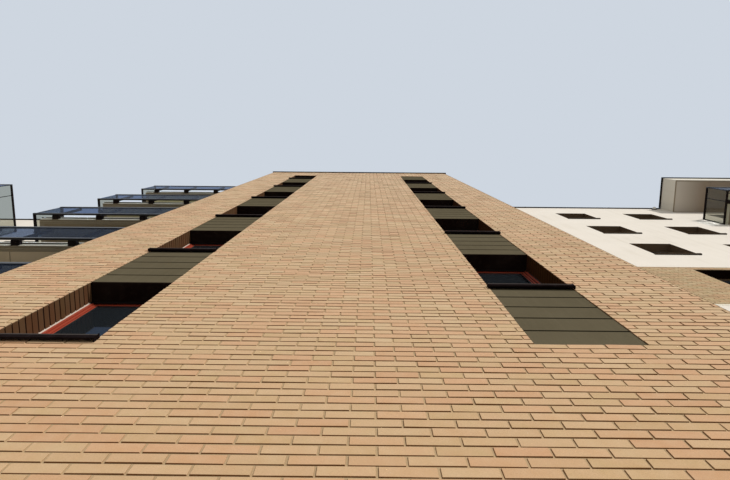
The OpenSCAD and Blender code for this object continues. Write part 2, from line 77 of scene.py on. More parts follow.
TOWER_WINDOW_H = 1.425
COLUMN_W = 0.685
LEFT_COLUMN_X = -1.974
RIGHT_COLUMN_X = 1.289
FIRST_SILL_Z = 4.8
RIGHT_SILL_RISE = 1.35
SLOT_TOP = FIRST_SILL_Z + (STOREYS - 1) * STOREY_H + TOWER_WINDOW_H

WALL_FOOT = 0.3
BASE_TOP = FIRST_FLOOR_Z - WALL_FOOT
BAND_BASE = FIRST_FLOOR_Z + 2 * STOREY_H - WALL_FOOT
BAND_TOP = BAND_BASE + STOREY_H - 0.225
WING_WINDOW_W = 0.945
WING_WINDOW_H = 1.3
WING_WINDOW_X = 6.33
WING_PITCH = 2.15
SILL_H = 0.79
DOORWAY_W = 1.81
ENTRANCE_X = (3.82, 5.18)
ENTRANCE_H = 2.4
ENTRANCE_DOOR_Y = -4.66
LIGHT: Vector = (10.12, RIGHT_WALL_Y, 21.91)

BALCONY_L = 3.12
BALCONY_GAP = 0.02
OUTER_BALCONY_X = 10.54
LEFT_SLAB_Y = -5.59
RIGHT_SLAB_Y = -5.69
SLAB_T = 0.2

CANOPY_X = (OUTER_BALCONY_X - 0.14, OUTER_BALCONY_X + BALCONY_L + 0.14)
CANOPY_Y = -5.885
CANOPY_UPSTAND = 0.15
CANOPY_FOOT = 0.1

COPING_T = 0.075
COPING_OUT = 0.03
COPING_W = WALL_T + 2 * COPING_OUT
CANOPY_COPING_W = CANOPY_UPSTAND + 2 * COPING_OUT
COPING_END = HALF_BLOCK + COPING_OUT
COPING_REAR_Y = REAR_Y + COPING_OUT
LEFT_COPING_Y = LEFT_WALL_Y - COPING_OUT
RIGHT_COPING_Y = RIGHT_WALL_Y - COPING_OUT
TOWER_COPING_X = HALF_TOWER + COPING_OUT
TOWER_COPING_Y = FRONT_Y - COPING_OUT
CANOPY_COPING_X = (CANOPY_X[0] - COPING_OUT, CANOPY_X[1] + COPING_OUT)
CANOPY_COPING_Y = CANOPY_Y - COPING_OUT

# How far a piece is sunk into what carries it.
SUNK = 0.001

LEFT: Vector = (-1, 0, 0)
RIGHT: Vector = (1, 0, 0)
STREET: Vector = (0, -1, 0)
REARWARD: Vector = (0, 1, 0)
UP: Vector = (0, 0, 1)


class Slot(Enum):
    """The record's material slots, one named with each added piece; the script doesn't use them.
    """

    BRICK = "brick"
    RENDER = "render"
    SLAB = "slab_render"
    CONCRETE = "concrete"
    METAL = "dark_metal"
    FRAME = "frame_red"


def tint(red: float, green: float, blue: float) -> Rgb:
    """Turn a display colour of 0 to 255 into a linear one.

    Args:
        red, green, blue: the display colour.

    Returns:
        The linear colour: ((c / 255 + 0.055) / 1.055) to the power 2.4 for each channel.
    """
    shares = [c / 255 for c in (red, green, blue)]
    return tuple(c / 12.92 if c < 0.04045 else ((c + 0.055) / 1.055) ** 2.4 for c in shares)


def multiplied(colour: Rgb, factors: Rgb) -> Rgb:
    """Multiply a colour by one factor for each channel."""
    return tuple(c * f for c, f in zip(colour, factors))


# Meshes: each shape is worked out as whole arrays and becomes part of one piece.


def outward(points: Array, faces: list[Array]) -> list[Array]:
    """Make a solid's faces look outwards.

    The volume is the sum over fan triangles (a, b, c) of a . (b x c) / 6, which is negative
    where the faces look inwards.

    Args:
        points: (points, 3) places of one solid.
        faces: its faces, each array (faces, corners).

    Returns:
        The faces, turned over where the volume is negative.
    """
    centred = points - points.mean(0)
    volume = 0.0
    for corners in faces:
        for k in range(1, corners.shape[1] - 1):
            a, b, c = (centred[corners[:, j]] for j in (0, k, k + 1))
            volume += float(np.einsum("ij,ij->", a, np.cross(b, c))) / 6
    return [corners[:, ::-1] for corners in faces] if volume < 0 else faces


def make_piece(name: str, material: Material, slot: Slot, *batches: Solids | TonedSolids) -> None:
    """Make one piece of batches of equal closed solids and put it on the block's body.

    Args:
        name: the piece's name.
        material: its finish.
        slot: the record's slot that the finish belongs to; not used.
        batches: points (solids, points, 3) and faces of one solid in each batch, and where it
            has them tones (solids, 4), values that every point of a solid carries.
    """
    places, loops, values, count = [], [], [], 0
    for points, faces, *tones in batches:
        solids, size, _ = points.shape
        steps = count + size * np.arange(solids)[:, None, None]
        loops += [(corners[None] + steps).reshape(-1, corners.shape[1])
                  for corners in outward(points[0], faces)]
        places.append(points.reshape(-1, 3))
        values.append(np.repeat(tones[0] if tones else np.full((solids, 4), 0.5), size, axis=0))
        count += solids * size
    mesh = bpy.data.meshes.new(name)
    corners = np.concatenate([f.ravel() for f in loops]).astype(np.int32)
    sizes = np.concatenate([np.full(len(f), f.shape[1]) for f in loops])
    starts = np.concatenate([[0], np.cumsum(sizes)[:-1]]).astype(np.int32)
    mesh.vertices.add(count)
    mesh.vertices.foreach_set("co", np.concatenate(places).astype(np.float32).ravel())
    mesh.loops.add(len(corners))
    mesh.loops.foreach_set("vertex_index", corners)
    mesh.polygons.add(len(sizes))
    mesh.polygons.foreach_set("loop_start", starts)
    layer = mesh.attributes.new("tone", "FLOAT_COLOR", "POINT")
    layer.data.foreach_set("color", np.concatenate(values).astype(np.float32).ravel())
    mesh.update(calc_edges=True)
    mesh.validate()
    mesh.shade_flat()
    mesh.materials.append(material)
    piece = bpy.data.objects.new(name, mesh)
    bpy.context.scene.collection.objects.link(piece)
    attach(piece, BODY)
    log.info("piece %s: %d faces, %d points", name, len(sizes), count)


def spots(x: Array | float, y: Array | float, z: Array | float) -> Array:
    """Stack coordinates into (spots, 3) places; a plain number goes to all of them."""
    return np.stack(np.broadcast_arrays(x, y, z), -1)


def quads(*rings: Array) -> Array:
    """Join closed rings of equal length.

    Args:
        rings: index arrays, each one ring in order.

    Returns:
        (quads, 4) indices, quad k of a pair being (r0[k], r0[k+1], r1[k+1], r1[k]).
    """
    pairs = zip(rings[:-1], rings[1:])
    return np.concatenate([np.stack([low, np.roll(low, -1), np.roll(high, -1), high], 1)
                           for low, high in pairs])


def tube(size: int, count: int) -> list[Array]:
    """Join rings that lie one after the other in a list of points, and close both ends.

    Args:
        size: points in a ring.
        count: number of rings.

    Returns:
        The quads between the rings, the first end and the last end.
    """
    rings = [np.arange(size) + size * k for k in range(count)]
    return [quads(*rings), rings[0][::-1][None], rings[-1][None]]


def prism(outline: Array, starts: Array, along: Vector | Array, across: Vector) -> Solids:
    """Carry an upright outline along a straight line, for many equal bars at once.

    A point is start + t * along + a * across + b * up, with t 0 or 1 and (a, b) on the outline.

    Args:
        outline: (points, 2) closed outline.
        starts: (bars, 3) place of each bar's start.
        along: vector from a bar's start to its end.
        across: direction of the outline's first number.

    Returns:
        Points (bars, 2 * outline points, 3) and the faces of one bar.
    """
    first = starts[:, None] + outline @ np.array([across, UP], float)
    return np.concatenate([first, first + np.asarray(along)], 1), tube(len(outline), 2)


def bevelled_blocks(low: Array, high: Array, cut: float) -> Solids:
    """Make blocks whose upright and level edges are cut back.

    Four rings stand on each other: at the two ends the outline is drawn in by the cut, and
    each ring has eight points, because its corners are cut too.

    Args:
        low: (blocks, 3) lowest corners.
        high: (blocks, 3) highest corners.
        cut: width of the cut edge.

    Returns:
        Points (blocks, 32, 3) and the faces of one block.
    """
    side = np.array([[0, 0], [1, 0], [1, 0], [1, 1], [1, 1], [0, 1], [0, 1], [0, 0]], float)
    pull = np.array([[1, 0], [-1, 0], [0, 1], [0, -1], [-1, 0], [1, 0], [0, -1], [0, 1]], float)
    inward = np.array([[1, 1], [-1, 1], [-1, 1], [-1, -1], [-1, -1], [1, -1], [1, -1], [1, 1]])
    flat_low, flat_high = low[:, None, :2], high[:, None, :2]
    ring = flat_low + side * (flat_high - flat_low) + cut * pull
    drawn = ring + cut * inward * 0.5
    levels = ((drawn, low[:, 2]), (ring, low[:, 2] + cut), (ring, high[:, 2] - cut),
              (drawn, high[:, 2]))
    rings = [np.concatenate([xy, np.repeat(z[:, None, None], 8, 1)], 2) for xy, z in levels]
    return np.concatenate(rings, 1), tube(8, 4)


def window_loops(openings: Array, outline: Array, face_y: float, inward: float = 1.0) -> Solids:
    """Run an outline round the four sides of upright openings, mitred at the corners.

    At a corner of the opening (x, z) the point (inset, depth) of the outline lies at
    (x + sx * inset, face + inward * depth, z + sz * inset), where sx and sz point into the
    opening.

    Args:
        openings: (openings, 4) left edge, sill level, width and height.
        outline: (points, 2) closed outline of insets and depths.
        face_y: Y of the outline's zero depth.
        inward: 1 where depth runs towards +Y, -1 where it runs towards -Y.

    Returns:
        Points (openings, 4 * outline points, 3) and the faces of one loop.
    """
    x0, z0 = openings[:, 0], openings[:, 1]
    x1, z1 = x0 + openings[:, 2], z0 + openings[:, 3]
    rings = []
    for x, z, sx, sz in ((x0, z0, 1, 1), (x1, z0, -1, 1), (x1, z1, -1, -1), (x0, z1, 1, -1)):
        px, pz = (at[:, None] + sign * outline[:, 0] for at, sign in ((x, sx), (z, sz)))
        rings.append(spots(px, face_y + inward * outline[:, 1], pz))
    return np.concatenate(rings, 1), [closed_loop(len(outline), 4)]


def skirting(path: Array, outline: Array, level: float) -> Solids:
    """Run an outline round a closed path with square corners, mitred at each corner.

    The point (inset, height) of the outline lies at corner + inset * (n0 + n1) + height * up,
    where n0 and n1 are the inward normals of the two sides that meet at the corner.

    Args:
        path: (corners, 2) plan corners, anticlockwise.
        outline: (points, 2) closed outline of insets and heights.
        level: level of the outline's zero height.

    Returns:
        Points (1, corners * outline points, 3) and the faces.
    """
    side = np.roll(path, -1, 0) - path
    side = side / np.linalg.norm(side, axis=1, keepdims=True)
    normal = np.stack([-side[:, 1], side[:, 0]], 1)
    mitre = normal + np.roll(normal, 1, 0)
    xy = path[:, None] + mitre[:, None] * outline[None, :, :1]
    z = np.broadcast_to(level + outline[None, :, 1:], (*xy.shape[:2], 1))
    return np.concatenate([xy, z], 2).reshape(1, -1, 3), [closed_loop(len(outline), len(path))]


def closed_loop(size: int, count: int) -> Array:
    """Join rings that lie one after the other into a loop, the last one to the first.

    Args:
        size: points in a ring.
        count: number of rings.

    Returns:
        (quads, 4) indices.
    """
    return quads(*(np.arange(size) + size * (k % count) for k in range(count + 1)))


def lathe(profile: Array, centres: Array, axis: Vector, segments: int = 24, flute: float = 0.0,
          lobes: int = 12) -> Solids:
    """Turn a profile round an axis, at many places at once.

    With t a share of a full turn, the point (r, h) of the profile goes to
    centre + r * (1 + flute * cos(lobes * t)) * (cos(t) * a + sin(t) * b) + h * axis.

    Args:
        profile: (points, 2) radii and heights from one flat end to the other.
        centres: (places, 3) places on the axis.
        axis: unit vector of the axis.
        segments: points in a full turn.
        flute: depth of the flutes as a share of the radius.
        lobes: number of flutes.

    Returns:
        Points (places, segments * profile points, 3) and the faces of one turned solid.
    """
    axis = np.asarray(axis, float)
    a = np.cross(axis, [0.3, 0.7, 0.2])
    a /= np.linalg.norm(a)
    b = np.cross(axis, a)
    t = np.linspace(0, 2 * math.pi, segments, endpoint=False)
    swell = (1 + flute * np.cos(lobes * t))[:, None]
    turn = (np.cos(t)[:, None] * a + np.sin(t)[:, None] * b) * swell
    solid = profile[:, None, :1] * turn[None] + profile[:, None, 1:] * axis
    return centres[:, None] + solid.reshape(1, -1, 3), tube(segments, len(profile))


# Shaders: a graph adds nodes, and the effects are node groups that several finishes use.


class Graph:
    """Adds nodes to one node tree in short lines."""

    def __init__(self, tree: bpy.types.NodeTree) -> None:
        """Keep the tree."""
        self.tree = tree

    def add(self, kind: str, **settings: object) -> Node:
        """Add a node and set its properties.

        Args:
            kind: the node's type name without its ShaderNode prefix.
            settings: properties of the node.

        Returns:
            The node.
        """
        full = kind if kind.startswith("NodeGroup") else "ShaderNode" + kind
        node = self.tree.nodes.new(full)
        for key, value in settings.items():
            setattr(node, key, value)
        return node

    def put(self, value: object, socket: Socket) -> None:
        """Link an output to an input, or set the input's own value.

        Args:
            value: an output socket, a number, or a colour of three numbers.
            socket: the input.
        """
        if isinstance(value, Socket):
            self.tree.links.new(value, socket)
        else:
            socket.default_value = (*value, 1.0) if socket.type == "RGBA" else value

    def feed(self, node: Node, *first: object, **named: object) -> Node:
        """Put values into a node's inputs.

        Args:
            node: the node.
            first: what its first inputs get, in order.
            named: what other inputs get, by their names with _ for a space.

        Returns:
            The node.
        """
        for value, socket in zip(first, node.inputs):
            self.put(value, socket)
        for key, value in named.items():
            self.put(value, node.inputs[key.replace("_", " ")])
        return node

    def part(self, source: Socket, axis: str) -> Socket:
        """Return one number of a vector."""
        return self.feed(self.add("SeparateXYZ"), source).outputs[axis]

    def noise(self, vector: Socket, scale: Socket, detail: float, rough: float = 0.55) -> Socket:
        """Return the value of a noise texture over a vector."""
        return self.feed(self.add("TexNoise"), Vector=vector, Scale=scale, Detail=detail,
                         Roughness=rough).outputs["Fac"]

    def ramp(self, value: Socket, colours: tuple[Rgb, ...]) -> Socket:
        """Turn a value into a colour.

        Args:
            value: the socket that is read.
            colours: linear colours, evenly spaced from 0 to 1.

        Returns:
            The colour socket.
        """
        node = self.add("ValToRGB")
        band = node.color_ramp
        while len(band.elements) < len(colours):
            band.elements.new(0.5)
        for k, (element, colour) in enumerate(zip(band.elements, colours)):
            element.position = k / (len(colours) - 1)
            element.color = (*colour, 1.0)
        return self.feed(node, value).outputs["Color"]

    def mix(self, factor: Socket, one: Socket | Rgb, two: Rgb, blend: str = "MIX") -> Socket:
        """Mix two colours.

        Args:
            factor: share of the second colour.
            one, two: the colours.
            blend: the mode by its name in Blender.

        Returns:
            The colour socket.
        """
        node = self.feed(self.add("Mix", data_type="RGBA", blend_type=blend), factor)
        for value, socket in ((one, 6), (two, 7)):
            self.put(value, node.inputs[socket])
        return node.outputs[2]

    def math(self, operation: str, one: Socket | float, two: Socket | float = 0.0) -> Socket:
        """Return the result of a sum of two numbers."""
        return self.feed(self.add("Math", operation=operation), one, two).outputs[0]

    def rise(self, value: Socket, low: float, high: float) -> Socket:
        """Return 0 at low, 1 at high, a straight line between them and level ends."""
        return self.feed(self.add("MapRange"), value, low, high).outputs[0]

    def fall(self, value: Socket, low: float, high: float) -> Socket:
        """Return 1 at low, 0 at high, a straight line between them and level ends."""
        return self.math("SUBTRACT", 1.0, self.rise(value, low, high))


class Effect(Enum):
    """The effects that several finishes use, by the names of their node groups."""

    GRAIN = "Surface grain"
    STREAKS = "Rain streaks"
    PATCHES = "Broad patches"


class EffectGroups:
    """Makes each effect's node group once; all read a vector and a scale."""

    def build(self) -> None:
        """Make the three groups."""
        self._grain()
        self._streaks()
        self._patches()

    @staticmethod
    def _start(effect: Effect, *outputs: str) -> tuple[Graph, Sockets, Sockets]:
        """Start a group.

        Args:
            effect: the effect it is for.
            outputs: names of its outputs.

        Returns:
            The group's graph, and the inner sockets of its inputs and outputs by name.
        """
        tree = bpy.data.node_groups.new(effect.value, "ShaderNodeTree")
        for name, kind in (("Vector", "NodeSocketVector"), ("Scale", "NodeSocketFloat")):
            tree.interface.new_socket(name, in_out="INPUT", socket_type=kind)
        for name in outputs:
            tree.interface.new_socket(name, in_out="OUTPUT", socket_type="NodeSocketFloat")
        graph = Graph(tree)
        entry, leave = graph.add("NodeGroupInput"), graph.add("NodeGroupOutput")
        return graph, {s.name: s for s in entry.outputs}, {s.name: s for s in leave.inputs}

    def _grain(self) -> None:
        """Fine surface grain: two noises, one a third of the other's size, added as a height."""
        g, come, go = self._start(Effect.GRAIN, "Height", "Mask")
        coarse = g.noise(come["Vector"], come["Scale"], 2.0)
        fine = g.noise(come["Vector"], g.math("MULTIPLY", come["Scale"], 3.1), 2.0)
        height = g.math("ADD", g.math("MULTIPLY", coarse, 0.65), g.math("MULTIPLY", fine, 0.35))
        g.put(height, go["Height"])
        g.put(g.rise(coarse, 0.42, 0.62), go["Mask"])

    def _streaks(self) -> None:
        """Rain streaks: a noise drawn out along Z, so that its patches hang down as lines."""
        g, come, go = self._start(Effect.STREAKS, "Mask")
        squeeze = g.feed(g.add("Mapping"), Vector=come["Vector"], Scale=(1.0, 1.0, 0.06))
        lines = g.noise(squeeze.outputs[0], come["Scale"], 4.0, 0.6)
        g.put(g.rise(lines, 0.48, 0.72), go["Mask"])

    def _patches(self) -> None:
        """Broad patches: a low noise with soft edges, for uneven colour over metres."""
        g, come, go = self._start(Effect.PATCHES, "Mask")
        broad = g.noise(come["Vector"], come["Scale"], 3.0, 0.5)
        g.put(g.rise(broad, 0.3, 0.7), go["Mask"])


@dataclass(frozen=True)
class Veil:
    """How fine an effect is, in patches per metre, and how much of it shows."""

    scale: float
    share: float = 1.0


@dataclass(frozen=True)
class Finish:
    """What every finish shares.

    The roughness is a least value and what full wear adds to it. The relief is the height of
    the grain's bump in metres, and its strength.
    """

    name: str
    colour: Rgb = tint(188, 188, 188)
    metallic: float = 0.0
    specular: float = 0.0
    roughness: float = 0.8
    worn: float = 0.1
    relief: float = 0.001
    strength: float = 0.5
    grain: Veil = Veil(300.0)
    patches: Veil = Veil(2.0)
    streaks: Veil = Veil(12.0)

    def material(self) -> Material:
        """Make the material: the finish's colour with its own layers painted on it.

        Returns:
            The material.
        """
        material = bpy.data.materials.new(self.name)
        material.use_nodes = True
        self.paint(Skin(self, material.node_tree))
        return material

    def paint(self, skin: "Skin") -> None:
        """Paint the layers; each kind of finish has its own."""
        raise NotImplementedError


class Skin:
    """The surface of one material: its shader and the colour that grows layer by layer."""

    def __init__(self, finish: Finish, tree: bpy.types.NodeTree) -> None:
        """Start with the finish's plain colour and the shader's own numbers.

        Args:
            finish: the finish that is painted.
            tree: the material's node tree.
        """
        self.finish = finish
        self.graph = Graph(tree)
        self.shader = tree.nodes["Principled BSDF"]
        self.output = tree.nodes["Material Output"]
        self.coordinates = self.graph.add("TexCoord").outputs
        self.colour: Socket | Rgb = finish.colour
        self.height: Socket | None = None
        self.graph.feed(self.shader, Metallic=finish.metallic,
                        Specular_IOR_Level=finish.specular)

    def effect(self, effect: Effect, scale: float, place: Socket | None = None) -> Socket:
        """Place a shared effect and keep the grain's height for the bump.

        Args:
            effect: which effect.
            scale: its patches per metre.
            place: the coordinate it reads, or None for the object's own.

        Returns:
            The effect's mask.
        """
        node = self.graph.add("Group", node_tree=bpy.data.node_groups[effect.value])
        self.graph.feed(node, Vector=place or self.coordinates["Object"], Scale=scale)
        if effect is Effect.GRAIN:
            self.height = node.outputs["Height"]
        return node.outputs["Mask"]

    def tone(self) -> list[Socket]:
        """Return the three numbers of the piece's tone attribute."""
        tone = self.graph.add("Attribute", attribute_name="tone", attribute_type="GEOMETRY")
        return list(self.graph.feed(self.graph.add("SeparateColor"), tone.outputs[0]).outputs)

    def along(self, axis: str) -> Socket:
        """Return the place along one of the object's axes."""
        return self.graph.part(self.coordinates["Object"], axis)

    def facing(self, axis: str, sign: float) -> Socket:
        """Return 1 where the surface looks along the signed axis and 0 where it doesn't."""
        part = self.graph.part(self.coordinates["Normal"], axis)
        return self.graph.rise(self.graph.math("MULTIPLY", part, sign), 0.5, 0.62)

    def lay(self, mask: Socket, share: float, colour: Rgb, blend: str = "MIX") -> None:
        """Lay a colour over what is there.

        Args:
            mask: where it lies.
            share: how much of it shows where the mask is 1.
            colour: the colour.
            blend: the mode by its name in Blender.
        """
        factor = self.graph.math("MULTIPLY", mask, share)
        self.colour = self.graph.mix(factor, self.colour, colour, blend)

    def veil(self, effect: Effect, veil: Veil, colour: Rgb) -> Socket:
        """Lay a colour where an effect covers the surface.

        Args:
            effect: which effect.
            veil: how fine it is and how much of it shows.
            colour: the colour.

        Returns:
            The effect's mask.
        """
        mask = self.effect(effect, veil.scale)
        self.lay(mask, veil.share, colour)
        return mask

    def close(self, wear: Socket) -> None:
        """Feed the shader: the colour, roughness + worn * wear, and the grain's bump.

        Args:
            wear: the mask that changes the roughness.
        """
        finish, g = self.finish, self.graph
        rough = g.math("ADD", g.math("MULTIPLY", wear, finish.worn), finish.roughness)
        g.feed(self.shader, Base_Color=self.colour, Roughness=rough)
        if self.height is not None:
            bump = g.feed(g.add("Bump"), finish.strength, finish.relief, Height=self.height)
            g.feed(self.shader, Normal=bump.outputs["Normal"])


@dataclass(frozen=True)
class BrickFinish(Finish):
    """Fired clay: each brick has its own tone, a mottled face and a sanded skin.

    Between the levels of street_z the tone runs from the street's to the plain one, and between
    the two higher levels it grows paler and bluer towards the top.
    """

    specular: float = 0.2
    roughness: float = 0.86
    worn: float = 0.08
    relief: float = 0.0016
    strength: float = 0.7
    tones: tuple[Rgb, ...] = (
        tint(200, 174, 132), tint(205, 179, 140), tint(209, 184, 147), tint(209, 177, 139),
        tint(210, 171, 134), tint(205, 165, 128))
    # painted shade: a factor on every colour of the finish, below 1 for bricks that lie in shade
    shade: Rgb = (1.0, 1.0, 1.0)
    pale: Rgb = tint(220, 190, 156)
    pink: Rgb = tint(209, 160, 126)
    soot: Rgb = tint(172, 136, 102)
    sand: Rgb = tint(150, 116, 82)
    # painted shade: the colour laid under each brick and on its faces that look along -X
    shade_colour: Rgb = tint(100, 62, 22)
    patches: Veil = Veil(14.0, 0.35)
    blush: Veil = Veil(8.5, 0.26)
    grain: Veil = Veil(260.0, 0.14)
    soot_share: float = 0.14
    # shares of that painted shade under the bricks and on the faces that look along -X
    underside: float = 0.9
    left_face_shade: float = 0.0
    street: Rgb = (0.953, 0.876, 0.776)
    street_z: tuple[float, float] = (2.9, 5.6)
    # paler and bluer towards the top, between the two levels below
    paler_high: Rgb = (1.07, 1.15, 1.27)
    paler_high_z: tuple[float, float] = (5.6, 18.0)

    def paint(self, skin: Skin) -> None:
        """Lay the changes with height, patches, soot and sand over each brick's own tone, then
        painted shade.

        Painted shade darkens the underside of each brick and, by the left face share, the faces
        that look along -X in the slots, which the mask tells from the tower's left side.

        Args:
            skin: the surface that is painted.
        """
        g, tone, height = skin.graph, skin.tone(), skin.along("Z")
        skin.colour = g.ramp(tone[0], tuple(self._shaded(rgb) for rgb in self.tones))
        skin.lay(g.fall(height, *self.street_z), 1.0, self.street, "MULTIPLY")
        # paler and bluer towards the top
        skin.lay(g.rise(height, *self.paler_high_z), 1.0, self.paler_high, "MULTIPLY")
        skin.veil(Effect.PATCHES, self.patches, self._shaded(self.pale))
        skin.veil(Effect.PATCHES, self.blush, self._shaded(self.pink))
        skin.lay(tone[1], self.soot_share, self._shaded(self.soot))
        grain = skin.veil(Effect.GRAIN, self.grain, self._shaded(self.sand))
        # painted shade under every brick, then on the faces that look along -X in the slots
        skin.lay(skin.facing("Z", -1.0), self.underside, self._shaded(self.shade_colour))
        inner = g.rise(skin.along("X"), -HALF_TOWER - 0.002, -HALF_TOWER - 0.0005)
        left = g.math("MULTIPLY", skin.facing("X", -1.0), inner)
        skin.lay(left, self.left_face_shade, self._shaded(self.shade_colour))
        skin.close(grain)

    def _shaded(self, rgb: Rgb) -> Rgb:
        """Multiply a colour by the finish's painted shade factor."""
        return multiplied(rgb, self.shade)


@dataclass(frozen=True)
class MortarFinish(Finish):
    """A wall's core: mortar on its outside face and plaster on the inside of the room.

    The depth behind the outside face decides between the two. End faces at end_x and beyond it
    are outside too. A reveal colour, painted shade, covers the mortar from just behind the face.
    """

    colour: Rgb = tint(170, 150, 116)
    specular: float = 0.2
    roughness: float = 0.95
    worn: float = -0.15
    relief: float = 0.002
    strength: float = 0.8
    grain: Veil = Veil(420.0)
    patches: Veil = Veil(2.2, 0.4)
    darker: float = 0.72
    paler: float = 1.25
    plaster: Rgb = tint(196, 190, 180)
    reveal: Rgb | None = None
    outside_y: float = FRONT_Y
    towards: float = 1.0
    reveal_at: tuple[float, float] = (0.008, 0.012)
    room_at: tuple[float, float] = (0.26, 0.27)
    end_x: float = 100.0

    def paint(self, skin: Skin) -> None:
        """Lay dark and pale mortar, the reveal's painted shade and the room's plaster.

        Args:
            skin: the surface that is painted.
        """
        g = skin.graph
        depth = g.math("MULTIPLY", g.math("SUBTRACT", skin.along("Y"), self.outside_y),
                       self.towards)
        across = g.math("ABSOLUTE", skin.along("X"))
        within = g.fall(across, self.end_x - 0.01, self.end_x - 0.005)
        indoors = g.math("MULTIPLY", g.rise(depth, *self.room_at), within)
        skin.veil(Effect.GRAIN, self.grain, multiplied(self.colour, (self.darker,) * 3))
        skin.veil(Effect.PATCHES, self.patches, multiplied(self.colour, (self.paler,) * 3))
        # painted shade: the mortar in the reveals is darkened to stand for their shade
        if self.reveal is not None:
            lining = g.math("MULTIPLY", g.rise(depth, *self.reveal_at), within)
            skin.lay(lining, 1.0, self.reveal)
        skin.lay(indoors, 1.0, self.plaster)
        skin.close(indoors)


@dataclass(frozen=True)
class RenderFinish(Finish):
    """Mineral render: a fine sanded skin, trowelled waves and faint rain streaks.

    A soffit colour, painted shade, covers what faces down. A lit colour covers the left end and
    fades out between the two places of lit_x.
    """

    colour: Rgb = tint(236, 228, 216)
    stain: Rgb = tint(206, 196, 178)
    specular: float = 0.25
    roughness: float = 0.82
    relief: float = 0.0012
    strength: float = 0.6
    grain: Veil = Veil(330.0, 0.12)
    patches: Veil = Veil(0.9, 0.16)
    streaks: Veil = Veil(7.0, 0.35)
    soffit: Rgb | None = None
    lit_end: Rgb | None = None
    lit_x: tuple[float, float] = (0.0, 1.0)

    def paint(self, skin: Skin) -> None:
        """Lay the stain by grain, patches and streaks, then the soffit's painted shade and the
        lit end.

        Args:
            skin: the surface that is painted.
        """
        g = skin.graph
        grain = skin.veil(Effect.GRAIN, self.grain, self.stain)
        patches = skin.veil(Effect.PATCHES, self.patches, self.stain)
        runs = g.math("MULTIPLY", skin.effect(Effect.STREAKS, self.streaks.scale), patches)
        skin.lay(runs, self.streaks.share, self.stain)
        # painted shade: faces that look down take the darker soffit colour
        if self.soffit is not None:
            skin.lay(skin.facing("Z", -1.0), 1.0, self.soffit)
        if self.lit_end is not None:
            skin.lay(g.fall(skin.along("X"), *self.lit_x), 1.0, self.lit_end)
        skin.close(grain)


@dataclass(frozen=True)
class CoatedMetal(Finish):
    """Powder coated sheet: a fine orange-peel skin and dust in patches and streaks.

    A colour of painted shade covers the faces that look along -X, which lie in shade in the
    slots.
    """

    colour: Rgb = tint(34, 29, 29)
    dust: Rgb = tint(84, 76, 66)
    dust_share: float = 0.18
    roughness: float = 0.6
    worn: float = 0.5
    relief: float = 0.0004
    strength: float = 0.35
    grain: Veil = Veil(520.0)
    patches: Veil = Veil(3.0)
    streaks: Veil = Veil(16.0)
    left_face_shade: Rgb | None = None

    def paint(self, skin: Skin) -> None:
        """Lay the dust and the painted shade on faces that look along -X.

        Args:
            skin: the surface that is painted.
        """
        g = skin.graph
        skin.effect(Effect.GRAIN, self.grain.scale)
        fallen = g.math("ADD", skin.effect(Effect.PATCHES, self.patches.scale),
                        skin.effect(Effect.STREAKS, self.streaks.scale))
        dirt = g.math("MULTIPLY", fallen, self.dust_share)
        skin.lay(dirt, 1.0, self.dust)
        # painted shade on the faces that look along -X
        if self.left_face_shade is not None:
            skin.lay(skin.facing("X", -1.0), 1.0, self.left_face_shade)
        skin.close(dirt)


@dataclass(frozen=True)
class SoffitFinish(Finish):
    """Soffit panels: a base colour of painted shade, and painted light by storey from the tone.
    """

    # painted shade: the base colour stands for the soffits' shade
    colour: Rgb = tint(122, 108, 86)
    high: Rgb = tint(206, 202, 160)
    warm_light: Rgb = tint(189, 173, 145)
    stain: Rgb = tint(98, 86, 68)
    roughness: float = 0.78
    relief: float = 0.0008
    patches: Veil = Veil(1.8, 0.22)
    grain: Veil = Veil(300.0, 0.1)

    def paint(self, skin: Skin) -> None:
        """Lay the storey's painted light, soft patches and a fine grain.

        Args:
            skin: the surface that is painted.
        """
        tone = skin.tone()
        # painted light: by storey, a lighter colour and a warmer one stand for how much light
        # reaches the soffit
        skin.lay(tone[0], 1.0, self.high)
        skin.lay(tone[1], 1.0, self.warm_light)
        skin.veil(Effect.PATCHES, self.patches, self.stain)
        skin.close(skin.veil(Effect.GRAIN, self.grain, self.stain))


@dataclass(frozen=True)
class BoardFinish(Finish):
    """Through-coloured cement board: level brushed grain, paler wear and streaks of rain."""

    colour: Rgb = tint(95, 87, 69)
    pale: Rgb = tint(110, 102, 83)
    dark: Rgb = tint(78, 72, 56)
    # painted shade: the joint colour darkens the boards' undersides
    joint: Rgb = tint(14, 12, 9)
    underside_shade_share: float = 0.92
    roughness: float = 0.62
    relief: float = 0.0005
    grain: Veil = Veil(620.0, 0.35)
    patches: Veil = Veil(2.4, 0.3)
    streaks: Veil = Veil(22.0, 0.22)
    drawn: Vector = (0.05, 1.0, 1.0)

    def paint(self, skin: Skin) -> None:
        """Lay the brushed grain, which is drawn out along X, wear, streaks and painted shade
        underneath.

        Args:
            skin: the surface that is painted.
        """
        brush = skin.graph.feed(skin.graph.add("Mapping"), Vector=skin.coordinates["Object"],
                                Scale=self.drawn)
        skin.lay(skin.effect(Effect.GRAIN, self.grain.scale, brush.outputs[0]),
                 self.grain.share, self.dark)
        patches = skin.veil(Effect.PATCHES, self.patches, self.pale)
        skin.veil(Effect.STREAKS, self.streaks, self.pale)
        # painted shade on the faces that look down
        skin.lay(skin.facing("Z", -1.0), self.underside_shade_share, self.joint)
        skin.close(patches)


@dataclass(frozen=True)
class CastFinish(Finish):
    """Cast concrete, paving and felt: a cloudy colour with pores."""

    colour: Rgb = tint(176, 172, 163)
    cloud: Rgb = tint(150, 146, 138)
    worn: float = 0.12
    patches: Veil = Veil(1.4)
    grain: Veil = Veil(90.0, 0.3)

    def paint(self, skin: Skin) -> None:
        """Lay the clouds and the pores."""
        skin.veil(Effect.PATCHES, self.patches, self.cloud)
        skin.close(skin.veil(Effect.GRAIN, self.grain, self.cloud))


